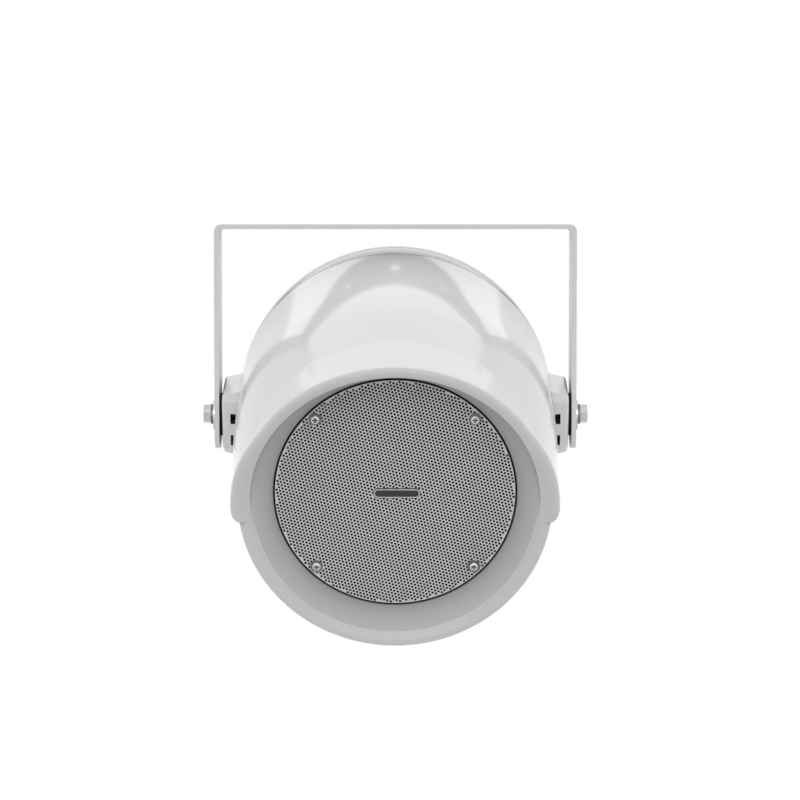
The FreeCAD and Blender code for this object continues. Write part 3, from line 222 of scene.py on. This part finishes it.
# head frame in mm to the row frame in metres: a turn about X by the rest tilt, then down to the pivot
def toRow(points):
    x, y, z = np.moveaxis(np.asarray(points, float) / 1000, -1, 0)
    cosine, sine = math.cos(restTilt), math.sin(restTilt)
    return np.stack([x, y * cosine - z * sine, y * sine + z * cosine], -1) + pivot


# a new object with its finish, riding the body of the node that it stands for
def addPiece(name, mesh, node, finishes):
    piece = bpy.data.objects.new(name, mesh)
    bpy.context.scene.collection.objects.link(piece)
    mesh.materials.clear()
    for finish in finishes:
        mesh.materials.append(finish)
    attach(piece, bodyOf[node])
    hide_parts(node)
    return piece


sharpAngle = 32  # degrees; edges that turn more than this stay sharp


# smooth shading that breaks at edges sharper than the angle, with flat faces kept flat
def finishShading(piece, angle=sharpAngle):
    mesh = piece.data
    mesh.polygons.foreach_set("use_smooth", np.ones(len(mesh.polygons), bool))
    mesh.set_sharp_from_angle(angle=math.radians(angle))
    weighted = piece.modifiers.new("flatFaces", "WEIGHTED_NORMAL")
    weighted.keep_sharp = True


# grid of points, closed both ways, as quads that join each row to the next
def closedGrid(name, points):
    rows, columns = points.shape[:2]
    index = np.arange(rows * columns).reshape(rows, columns)
    ahead = np.roll(index, -1, 0)
    quads = np.stack([index, np.roll(index, -1, 1), np.roll(ahead, -1, 1), ahead], -1).reshape(-1, 4)
    mesh = bpy.data.meshes.new(name)
    mesh.from_pydata(points.reshape(-1, 3), [], quads)
    return mesh


# broken line as a smooth height: straight runs between the corners, each corner eased by a
# parabola over its reach
def bentLine(at, corners, reach):
    stations, heights = np.array(corners, float).T
    slopes = np.diff(heights) / np.diff(stations)
    height = heights[0] + slopes[0] * (at - stations[0])
    for corner, change in zip(stations[1:-1], np.diff(slopes)):
        ahead = at - corner
        eased = np.clip(ahead + reach, 0, None) ** 2 / (4 * reach)
        height = height + change * np.where(ahead > reach, ahead, eased)
    return height


# half a cosine wave from one down to nothing, across a span of angles to either side of the top
def easeOut(turn, span):
    begin, end = span
    return (1 + np.cos(math.pi * np.clip((np.abs(turn) - begin) / (end - begin), 0, 1))) / 2


# polygon with round corners, for many columns at once: each corner is an arc of its radius, drawn as
# a rational curve between its two tangent points, which take up at most a share of the shorter side
def roundedLine(corners, radii, share, steps):
    tiny, nearlyOne = 1e-9, 0.9999
    before, after = np.roll(corners, 1, 1) - corners, np.roll(corners, -1, 1) - corners
    lengths = [np.linalg.norm(side, axis=-1, keepdims=True) for side in (before, after)]
    before, after = before / np.maximum(lengths[0], tiny), after / np.maximum(lengths[1], tiny)
    halfTurn = np.arccos(np.clip((before * after).sum(-1, keepdims=True), -nearlyOne, nearlyOne)) / 2
    reach = np.minimum(radii[..., None] / np.tan(halfTurn), share[..., None] * np.minimum(*lengths))
    weight = np.sin(halfTurn)[:, :, None]
    along = np.linspace(0, 1, steps)[None, None, :, None]
    begin, finish = (corners + before * reach)[:, :, None], (corners + after * reach)[:, :, None]
    middle = 2 * along * (1 - along) * weight
    top = begin * (1 - along) ** 2 + middle * corners[:, :, None] + finish * along ** 2
    return top / ((1 - along) ** 2 + middle + along ** 2)


bell = {
    "seam": -25.0, "shellRadius": 118.0, "wall": 4.0,
    "taperStation": 35.0, "taperReach": 22.0,
    "rimStation": 179.0, "rimRadius": 109.0, "rimRound": 4.0,
    "rimInnerStation": 173.5, "rimInnerRadius": 98.5, "rimInnerRound": 0.8,
    "funnelTurn": (84.0, 106.0),
    "pocketStation": 156.5, "pocketRadius": 85.5, "pocketRound": 0.3,
    "seatStation": 154.7, "mouthRadius": 70.0, "baffleBack": 150.7,
    "hoodShoulder": 80.0, "hoodWaist": 140.0, "hoodWaistRadius": 113.5, "hoodReach": 28.0,
    "hoodRadius": 113.2, "hoodInnerRadius": 100.5, "hoodEnd": 233.7,
    "hoodFrontTilt": 12.3, "frontEase": 1.5, "leanRounds": 6,
    "topTuck": -6.0, "tuckStation": 90.0, "tuckTurn": (48.0, 84.0),
    "earFlare": 1.3, "earTurn": 91.0, "earPower": 8.0,
    "hoodHalfWrap": 97.5, "hoodEndRound": 11.0, "hoodEndGap": 0.5,
    "hoodLipRound": 4.5, "hoodInnerLipRound": 1.2, "hoodRootRound": 1.0,
    "lipShare": 0.75, "cornerShare": 0.47, "shoulderSetback": 14.0,
    "columns": 360, "endColumns": 28, "outerSteps": 64, "cornerSteps": 11,
}


# The bell is one section carried round the axis. Its outer radius is the tapered shell plus the
# hood's proud height, which fades at the hood's two ends along a quarter circle. Its front is the
# rim's sloping face, which the hood carries on as the same cone leaned forward about the side points.
def makeBell(size):
    slope = (size["rimStation"] - size["rimInnerStation"]) / (size["rimRadius"] - size["rimInnerRadius"])
    endTurn = math.degrees(size["hoodEndRound"] / size["hoodRadius"])
    ease = 1 - np.cos(np.linspace(0, math.pi / 2, size["endColumns"]))
    half = np.unique(np.concatenate([
        np.linspace(0, size["hoodHalfWrap"] - endTurn, size["columns"] // 4),
        size["hoodHalfWrap"] - endTurn * ease,
        np.linspace(size["hoodHalfWrap"] + size["hoodEndGap"], 180, size["columns"] // 4)]))
    turn = np.concatenate([half, -half[-2:0:-1]])
    cosine, sine = np.cos(np.radians(turn)), np.sin(np.radians(turn))
    inside = np.clip((size["hoodHalfWrap"] - np.abs(turn)) / endTurn, 0, 1)
    hood = np.sqrt(1 - (1 - inside) ** 2)
    lean, rise = math.cos(math.radians(size["hoodFrontTilt"])), math.sin(math.radians(size["hoodFrontTilt"]))
    # the lip is drawn in over the top and eased out, and flares by a power of the angle at the ears
    ear = np.minimum(np.abs(turn) / size["earTurn"], 1) ** size["earPower"]
    flare = size["topTuck"] * easeOut(turn, size["tuckTurn"]) + size["earFlare"] * ear

    # radius of the outside at a station: the shell, and a share of what the hood stands proud of it
    def outerRadius(station, share, flare):
        start = (size["seam"], size["shellRadius"])
        shell = bentLine(station, [start, (size["taperStation"], size["shellRadius"]),
                                   (size["rimStation"], size["rimRadius"])], size["taperReach"])
        proud = bentLine(station, [start, (size["hoodShoulder"], size["shellRadius"]),
                                   (size["hoodWaist"], size["hoodWaistRadius"]),
                                   (size["hoodEnd"], size["hoodRadius"])], size["hoodReach"])
        ahead = np.clip((station - size["tuckStation"]) / (size["rimStation"] - size["tuckStation"]), 0, None)
        return shell + share * np.clip(proud + flare * np.minimum(ahead, 1) ** 2 - shell, 0, None)

    # station of the front face at a radius: the rim's cone, or the leaned cone where that is further out
    def frontStation(radius):
        side, up = radius * sine, radius * cosine
        plain = slope * (radius - size["rimRadius"])
        ahead = plain + up * rise / lean
        # found in rounds, because how far ahead a point lies sets its height on the leaned cone
        for _ in range(size["leanRounds"]):
            tall = ahead * rise + up * lean
            ahead = (up * rise + slope * (np.hypot(side, tall) - size["rimRadius"])) / lean
        over = ahead - plain
        return size["rimStation"] + plain + (over + np.hypot(over, size["frontEase"])) / 2

    wall, hoodInner = size["wall"], size["hoodInnerRadius"]
    lipRadius = size["rimRadius"] + (size["hoodRadius"] + flare - size["rimRadius"]) * hood
    lipRound = size["rimRound"] + (size["hoodLipRound"] - size["rimRound"]) * hood
    front = frontStation(lipRadius)
    shoulder = front - size["shoulderSetback"]
    stations = size["seam"] + (shoulder[:, None] - size["seam"]) * np.linspace(0, 1, size["outerSteps"])
    outer = np.stack([stations, outerRadius(stations, hood[:, None], flare[:, None])], -1)
    # under the hood the funnel runs out to the hood's inner wall, and below it ends at the rim's face
    root = size["rimStation"] + slope * (hoodInner - size["rimRadius"])
    wallMiddle = root + (frontStation(hoodInner) - root) * hood / 2
    runOut = easeOut(turn, size["funnelTurn"])
    innerStation = size["rimInnerStation"] + (root - size["rimInnerStation"]) * runOut
    innerRadius = size["rimInnerRadius"] + (hoodInner - size["rimInnerRadius"]) * runOut
    # station, radius and round of each corner, from the shoulder over the lip and back inside to the seam
    corners = [(shoulder, outerRadius(shoulder, hood, flare), 0),
               (front, outerRadius(front, hood, flare), lipRound),
               (frontStation(hoodInner), hoodInner, size["hoodInnerLipRound"]),
               (wallMiddle, hoodInner, size["hoodRootRound"]),
               (innerStation, innerRadius, size["rimInnerRound"]),
               (size["pocketStation"], size["pocketRadius"], size["pocketRound"]),
               (size["seatStation"], size["pocketRadius"], 0),
               (size["seatStation"], size["mouthRadius"], 0),
               (size["baffleBack"], size["mouthRadius"], 0),
               (size["baffleBack"], size["pocketRadius"] + wall, 0),
               (size["rimInnerStation"] - wall, size["rimInnerRadius"] + wall / 2, 0),
               (size["rimInnerStation"] - wall, size["rimRadius"] - wall, 0),
               (size["taperStation"], size["shellRadius"] - wall, 0),
               (size["seam"], size["shellRadius"] - wall, 0),
               (size["seam"], size["shellRadius"], 0)]
    everyTurn = np.ones_like(turn)
    table = np.array([[part * everyTurn for part in corner] for corner in corners])
    points, radii = np.moveaxis(table[:, :2], -1, 0), table[:, 2].T
    share = np.full_like(radii, size["cornerShare"])
    lipOuter, lipInner = 1, 2
    share[:, lipOuter] = size["lipShare"]
    share[:, lipInner] = 1 - size["lipShare"]
    arcs = roundedLine(points, radii, share, size["cornerSteps"])
    isRound = radii.max(0) > 0
    section = np.concatenate([outer] + [arcs[:, k] if isRound[k] else points[:, k:k + 1]
                                        for k in range(1, len(corners) - 1)], 1)
    station, radius = section[..., 0], section[..., 1]
    grid = np.stack([radius * sine[:, None], -station, radius * cosine[:, None]], -1)
    piece = addPiece("bellHousing", closedGrid("bellHousing", toRow(grid)), "front_housing", [housingAbs])
    finishShading(piece)
    return piece


bellHousing = makeBell(bell)
print("bell housing:", len(bellHousing.data.polygons), "faces")

# bevels in mm; merge distance in metres, and the angle in degrees up to which faces count as flat
easing = {"merge": 2e-6, "flatAngle": 0.5, "segments": 2}
easedEdges = {
    "mounting_bracket": 0.5, "rear_cover": 0.0, "pivot_block_left": 0.6, "pivot_block_right": 0.6,
    "flat_washer_left": 0.15, "flat_washer_right": 0.15,
    "spring_washer_left": 0.2, "spring_washer_right": 0.2,
    "rubber_washer_left": 0.3, "rubber_washer_right": 0.3, "pivot_bolt_left": 0.2, "pivot_bolt_right": 0.2,
    "grille_screws": 0.0, "grille_washers": 0.12, "gland_body": 0.3, "gland_nut": 0.0, "cover_screws": 0.0,
}


# a CAD node's solid as a clean copy: corners merged, flat faces made whole, edges eased by a bevel
def easedCopy(node, bevel):
    mesh = frame["nodes"][node].data.copy()
    sculpt = bmesh.new()
    sculpt.from_mesh(mesh)
    bmesh.ops.remove_doubles(sculpt, verts=sculpt.verts, dist=easing["merge"])
    if bevel:
        bmesh.ops.dissolve_limit(sculpt, angle_limit=math.radians(easing["flatAngle"]),
                                 verts=sculpt.verts, edges=sculpt.edges)
    sculpt.to_mesh(mesh)
    sculpt.free()
    piece = addPiece(node + "_finish", mesh, node, [ownFinish.get(node, finishOf[slotOf[node]])])
    if bevel:
        edge = piece.modifiers.new("easedEdge", "BEVEL")
        edge.width = bevel / 1000
        edge.segments = easing["segments"]
        edge.limit_method = "ANGLE"
        edge.angle_limit = math.radians(sharpAngle)
    finishShading(piece)


for node, bevel in easedEdges.items():
    easedCopy(node, bevel)
print("eased copies:", len(easedEdges))

grilleSheet = {
    "station": 156.5, "radius": 84.0, "thickness": 1.2, "cellSides": 6, "edgeSliver": 0.05,
    "pitch": 2.5, "holeDiameter": 1.82, "holeSides": 8, "rowTurn": -17.0, "margin": 0.15,
    "screwOffset": 55.508, "screwRadius": 4.6, "badgeCentre": (1.2, 0.0), "badgeHalf": (16.4, 3.5),
    "merge": 2e-5, "smallest": 1e-6,
}


# Perforated sheet: hexagonal cells on a staggered grid, each a ring of triangles from the cell's
# corners to its round hole. Corners past the edge are drawn in to the sheet's circle.
def makeGrille(size):
    pitch, edge = size["pitch"], size["radius"]
    rowStep = pitch * math.sqrt(0.75)
    spare = 3
    columns, lines = int(edge / pitch) + spare, int(edge / rowStep) + spare
    column, line = np.meshgrid(np.arange(-columns, columns + 1), np.arange(-lines, lines + 1))
    centres = np.stack([pitch * (column + 0.5 * (line % 2)), rowStep * line], -1).reshape(-1, 2)
    turn = math.radians(size["rowTurn"])
    spin = np.array([[math.cos(turn), math.sin(turn)], [-math.sin(turn), math.cos(turn)]])
    sides, holeSides = size["cellSides"], size["holeSides"]
    cellTurn, holeTurn = [np.radians(360 / count * (np.arange(count) + 0.5)) for count in (sides, holeSides)]
    cell = pitch / math.sqrt(3) * np.stack([np.cos(cellTurn), np.sin(cellTurn)], -1)
    hole = size["holeDiameter"] / 2 * np.stack([np.cos(holeTurn), np.sin(holeTurn)], -1)
    corners = (centres[:, None] + cell) @ spin
    rims = (centres[:, None] + hole) @ spin
    centres = centres @ spin
    inside = np.linalg.norm(corners, axis=-1).min(1) < edge - size["edgeSliver"]
    corners, rims, centres = corners[inside], rims[inside], centres[inside]
    reach = np.linalg.norm(corners, axis=-1, keepdims=True)
    corners = corners * np.minimum(1, edge / reach)
    fromScrew = np.linalg.norm(np.abs(centres) - size["screwOffset"], axis=-1)
    underPlate = (np.abs(centres - np.array(size["badgeCentre"])) < np.array(size["badgeHalf"])).all(-1)
    isOpen = np.linalg.norm(centres, axis=-1) < edge - size["holeDiameter"] / 2 - size["margin"]
    isOpen &= (fromScrew > size["screwRadius"]) & ~underPlate
    # ring of triangles between the cell's corners and the hole's sides, in order of angle
    order = sorted([(angle, True, k) for k, angle in enumerate(holeTurn)]
                   + [(angle, False, k) for k, angle in enumerate(cellTurn)])
    ring = []
    outer, inner = sides - 1, holeSides - 1
    for _, onHole, k in order:
        ring.append((outer, sides + k if onHole else k, sides + inner))
        outer, inner = (outer, k) if onHole else (k, inner)
    cells = np.concatenate([corners[isOpen], rims[isOpen]], 1)
    perCell = sides + holeSides
    triangles = np.array(ring) + perCell * np.arange(len(cells))[:, None, None]
    blank = corners[~isOpen]
    hexagons = len(cells) * perCell + np.arange(len(blank) * sides)
    faces = triangles.reshape(-1, 3).tolist() + hexagons.reshape(-1, sides).tolist()
    flat = np.concatenate([cells.reshape(-1, 2), blank.reshape(-1, 2)])
    points = np.stack([flat[:, 0], -size["station"] * np.ones(len(flat)), flat[:, 1]], -1)
    mesh = bpy.data.meshes.new("perforatedGrille")
    mesh.from_pydata(toRow(points), [], faces)
    sculpt = bmesh.new()
    sculpt.from_mesh(mesh)
    bmesh.ops.remove_doubles(sculpt, verts=sculpt.verts, dist=size["merge"])
    bmesh.ops.dissolve_degenerate(sculpt, edges=sculpt.edges, dist=size["smallest"])
    bmesh.ops.recalc_face_normals(sculpt, faces=sculpt.faces)
    sculpt.to_mesh(mesh)
    sculpt.free()
    outward = toRow([0, -1, 0]) - toRow([0, 0, 0])
    if np.array(mesh.polygons[0].normal) @ outward < 0:
        mesh.flip_normals()
    piece = addPiece("perforatedGrille", mesh, "grille", [grilleEnamel, cutEdgeHoleShade])
    sheet = piece.modifiers.new("sheetThickness", "SOLIDIFY")
    sheet.thickness = size["thickness"] / 1000
    sheet.offset = -1
    # the hole walls take the nearly black cut-edge finish, painted shade in the holes
    sheet.material_offset_rim = 1
    return len(cells)


holeCount = makeGrille(grilleSheet)
print("grille holes:", holeCount)

# shade skirt and border as inset from the outline and height above the sheet, field as insets alone
badgePlate = {
    "station": 156.5, "shift": 1.2, "length": 33.5, "height": 7.7,
    "shadeSkirt": ((0.0, 0.0), (0.0, 0.3), (0.55, 0.35)),
    "border": ((0.62, 0.75), (0.78, 0.9), (1.2, 0.9), (1.36, 0.75), (1.42, 0.45)),
    "field": (2.4, 3.85), "fieldHeight": 0.45, "sides": 96, "merge": 2e-6, "sharpAngle": 40,
}


# Bare plate with round ends: a low skirt in the dark finish, painted shadow round its edge, and a raised border
# carried round the plate's outline, closed by a flat field that narrows to the middle line
def makeBadge(size):
    radius = size["height"] / 2
    turn = 2 * math.pi * (np.arange(size["sides"]) + 0.5) / size["sides"]
    endCentre = size["shift"] + (size["length"] / 2 - radius) * np.sign(np.cos(turn))
    steps = list(size["shadeSkirt"] + size["border"]) + [(inset, size["fieldHeight"]) for inset in size["field"]]
    inset, rise = np.array(steps).T
    reach = (radius - inset)[None, :]
    x = endCentre[:, None] + reach * np.cos(turn)[:, None]
    z = reach * np.sin(turn)[:, None]
    y = -(size["station"] + rise)[None, :] * np.ones_like(x)
    points = toRow(np.stack([x, y, z], -1))
    rows, columns = points.shape[:2]
    index = np.arange(rows * columns).reshape(rows, columns)
    ahead = np.roll(index, -1, 0)
    quads = np.stack([index[:, :-1], index[:, 1:], ahead[:, 1:], ahead[:, :-1]], -1).reshape(-1, 4)
    mesh = bpy.data.meshes.new("barePlate")
    mesh.from_pydata(points.reshape(-1, 3), [], quads)
    strip = np.arange(columns - 1) - len(size["shadeSkirt"]) + 1
    # the skirt's faces get the dark finish as painted shadow, the field's as dark enamel
    isEnamelOrShadow = (strip < 0) | (strip >= len(size["border"]))
    mesh.polygons.foreach_set("material_index", np.tile(isEnamelOrShadow, rows).astype(np.int32))
    sculpt = bmesh.new()
    sculpt.from_mesh(mesh)
    bmesh.ops.remove_doubles(sculpt, verts=sculpt.verts, dist=size["merge"])
    bmesh.ops.recalc_face_normals(sculpt, faces=sculpt.faces)
    sculpt.to_mesh(mesh)
    sculpt.free()
    # each face's finish is kept aside, because taking on the finishes sets it back
    finishIndex = np.zeros(len(mesh.polygons), np.int32)
    mesh.polygons.foreach_get("material_index", finishIndex)
    piece = addPiece("barePlate", mesh, "badge", [badgeNickel, enamelAndEdgeShadow])
    mesh.polygons.foreach_set("material_index", finishIndex)
    finishShading(piece, size["sharpAngle"])
    return piece


barePlate = makeBadge(badgePlate)
print("bare plate:", len(barePlate.data.polygons), "faces")

# finish on the CAD nodes, for those that stay as they are
for node, solid in frame["nodes"].items():
    solid.data.materials.clear()
    solid.data.materials.append(finishOf[slotOf[node]])

# camera at the photograph's place: level with the bracket's bar, tipped down a little
shot = {"place": (0.0034, -2.145, -0.002), "aim": (0.0034, 0.0, -0.1315),
        "focalPixels": 2865.0, "framePixels": 800.0, "sensor": 36.0}
lens = bpy.data.cameras.new("camera")
lens.sensor_width = shot["sensor"]
lens.lens = shot["sensor"] * shot["focalPixels"] / shot["framePixels"]
camera = bpy.data.objects.new("camera", lens)
bpy.context.scene.collection.objects.link(camera)
camera.location = shot["place"]
pitch = math.atan2(shot["aim"][2] - shot["place"][2], shot["aim"][1] - shot["place"][1])
camera.rotation_euler = (math.pi / 2 + pitch, 0, 0)
bpy.context.scene.camera = camera

# studio: a soft tent whose light grows upwards, backwards and to both sides, the sides more so towards
# the back, and which the camera, the glossy finishes and clear ones see as plain white
studio = {
    "base": 0.27, "up": 0.42, "back": 0.13, "side": 1.15, "sideLevel": 0.5, "sideBack": 0.5,
    "floorHeight": -0.95, "floorSize": 2.8, "floorTone": "dedede", "floorRoughness": 0.8, "fade": (0.65, 1.3),
}
white = [1.0, 1.0, 1.0, 1.0]
world = bpy.data.worlds.new("studio")
bpy.context.scene.world = world
world.use_nodes = True
tent = world.node_tree
tent.nodes.clear()
direction = addNode(tent, "ShaderNodeTexCoord").outputs["Generated"]
climb = addNode(tent, "ShaderNodeVectorMath", {1: (0.0, studio["back"], studio["up"])}, {0: direction},
                operation="DOT_PRODUCT")
even = addNode(tent, "ShaderNodeMath", {1: studio["base"]}, {0: climb.outputs["Value"]}, operation="ADD")
aside = addNode(tent, "ShaderNodeVectorMath", {1: (studio["side"], 0.0, 0.0)}, {0: direction},
                operation="DOT_PRODUCT")
bothSides = addNode(tent, "ShaderNodeMath", {}, {0: aside.outputs["Value"]}, operation="ABSOLUTE")
behind = addNode(tent, "ShaderNodeVectorMath", {1: (0.0, studio["sideBack"], 0.0)}, {0: direction},
                 operation="DOT_PRODUCT")
sideShare = addNode(tent, "ShaderNodeMath", {1: studio["sideLevel"]}, {0: behind.outputs["Value"]},
                    operation="ADD")
total = addNode(tent, "ShaderNodeMath", {},
                {0: bothSides.outputs[0], 1: sideShare.outputs[0], 2: even.outputs[0]},
                operation="MULTIPLY_ADD")
softLight = addNode(tent, "ShaderNodeBackground", {"Color": white}, {"Strength": total.outputs[0]})
backdrop = addNode(tent, "ShaderNodeBackground", {"Color": white, "Strength": 1.0})
rays = addNode(tent, "ShaderNodeLightPath").outputs
shiny = addNode(tent, "ShaderNodeMath", {}, {0: rays["Is Glossy Ray"], 1: rays["Is Transmission Ray"]},
                operation="MAXIMUM")
seen = addNode(tent, "ShaderNodeMath", {}, {0: rays["Is Camera Ray"], 1: shiny.outputs[0]},
               operation="MAXIMUM")
choice = addNode(tent, "ShaderNodeMixShader", {},
                 {0: seen.outputs[0], 1: softLight.outputs[0], 2: backdrop.outputs[0]})
addNode(tent, "ShaderNodeOutputWorld", {}, {"Surface": choice.outputs[0]})

# pale floor below the hanging speaker: it keeps the shadow, fades to white towards its edge, and is
# clear from underneath
half, low = studio["floorSize"] / 2, studio["floorHeight"]
floorMesh = bpy.data.meshes.new("floor")
floorMesh.from_pydata([(-half, -half, low), (half, -half, low), (half, half, low), (-half, half, low)],
                      [], [(0, 1, 2, 3)])
floor = bpy.data.objects.new("floor", floorMesh)
bpy.context.scene.collection.objects.link(floor)
paleFloor, floorTree, floorShader, floorPlace = startMaterial("paleFloor", Roughness=studio["floorRoughness"])
floorShader.inputs["Base Color"].default_value = hexColor(studio["floorTone"])
levelPlace = addNode(floorTree, "ShaderNodeVectorMath", {1: (1.0, 1.0, 0.0)}, {0: floorPlace},
                     operation="MULTIPLY")
away = addNode(floorTree, "ShaderNodeVectorMath", {}, {0: levelPlace.outputs["Vector"]}, operation="LENGTH")
fadeStart, fadeEnd = studio["fade"]
fade = addNode(floorTree, "ShaderNodeMapRange", {"From Min": fadeStart, "From Max": fadeEnd},
               {"Value": away.outputs["Value"]}, interpolation_type="SMOOTHSTEP")
inView = addNode(floorTree, "ShaderNodeLightPath").outputs["Is Camera Ray"]
bright = addNode(floorTree, "ShaderNodeMath", {}, {0: fade.outputs["Result"], 1: inView},
                 operation="MULTIPLY")
glow = addNode(floorTree, "ShaderNodeEmission", {"Strength": 1.0})
floorTop = addNode(floorTree, "ShaderNodeMixShader", {},
                   {0: bright.outputs[0], 1: floorShader.outputs[0], 2: glow.outputs[0]})
under = addNode(floorTree, "ShaderNodeNewGeometry").outputs["Backfacing"]
clear = addNode(floorTree, "ShaderNodeBsdfTransparent")
floorSides = addNode(floorTree, "ShaderNodeMixShader", {},
                     {0: under, 1: floorTop.outputs[0], 2: clear.outputs[0]})
floorTree.links.new(floorSides.outputs[0], floorTree.nodes["Material Output"].inputs["Surface"])
floorMesh.materials.append(paleFloor)

# softboxes: power in watts, size in metres, place and the point that they face
softboxes = {
    "overBack": {"power": 7.0, "size": (2.2, 1.4), "place": (0.0, 1.7, 1.2), "aim": (0.0, 0.0, -0.1)},
    "frontKey": {"power": 15.5, "size": (2.4, 1.4), "place": (0.0, -2.4, 0.6), "aim": (0.0, 0.0, -0.15)},
}
for name, box in softboxes.items():
    lamp = bpy.data.lights.new(name, "AREA")
    lamp.shape = "RECTANGLE"
    lamp.size, lamp.size_y = box["size"]
    lamp.energy = box["power"]
    holder = bpy.data.objects.new(name, lamp)
    bpy.context.scene.collection.objects.link(holder)
    holder.location = box["place"]
    toward = Vector(box["aim"]) - Vector(box["place"])
    holder.rotation_euler = toward.to_track_quat("-Z", "Y").to_euler()

bpy.context.scene.view_settings.view_transform = "Standard"
print("scene ready")
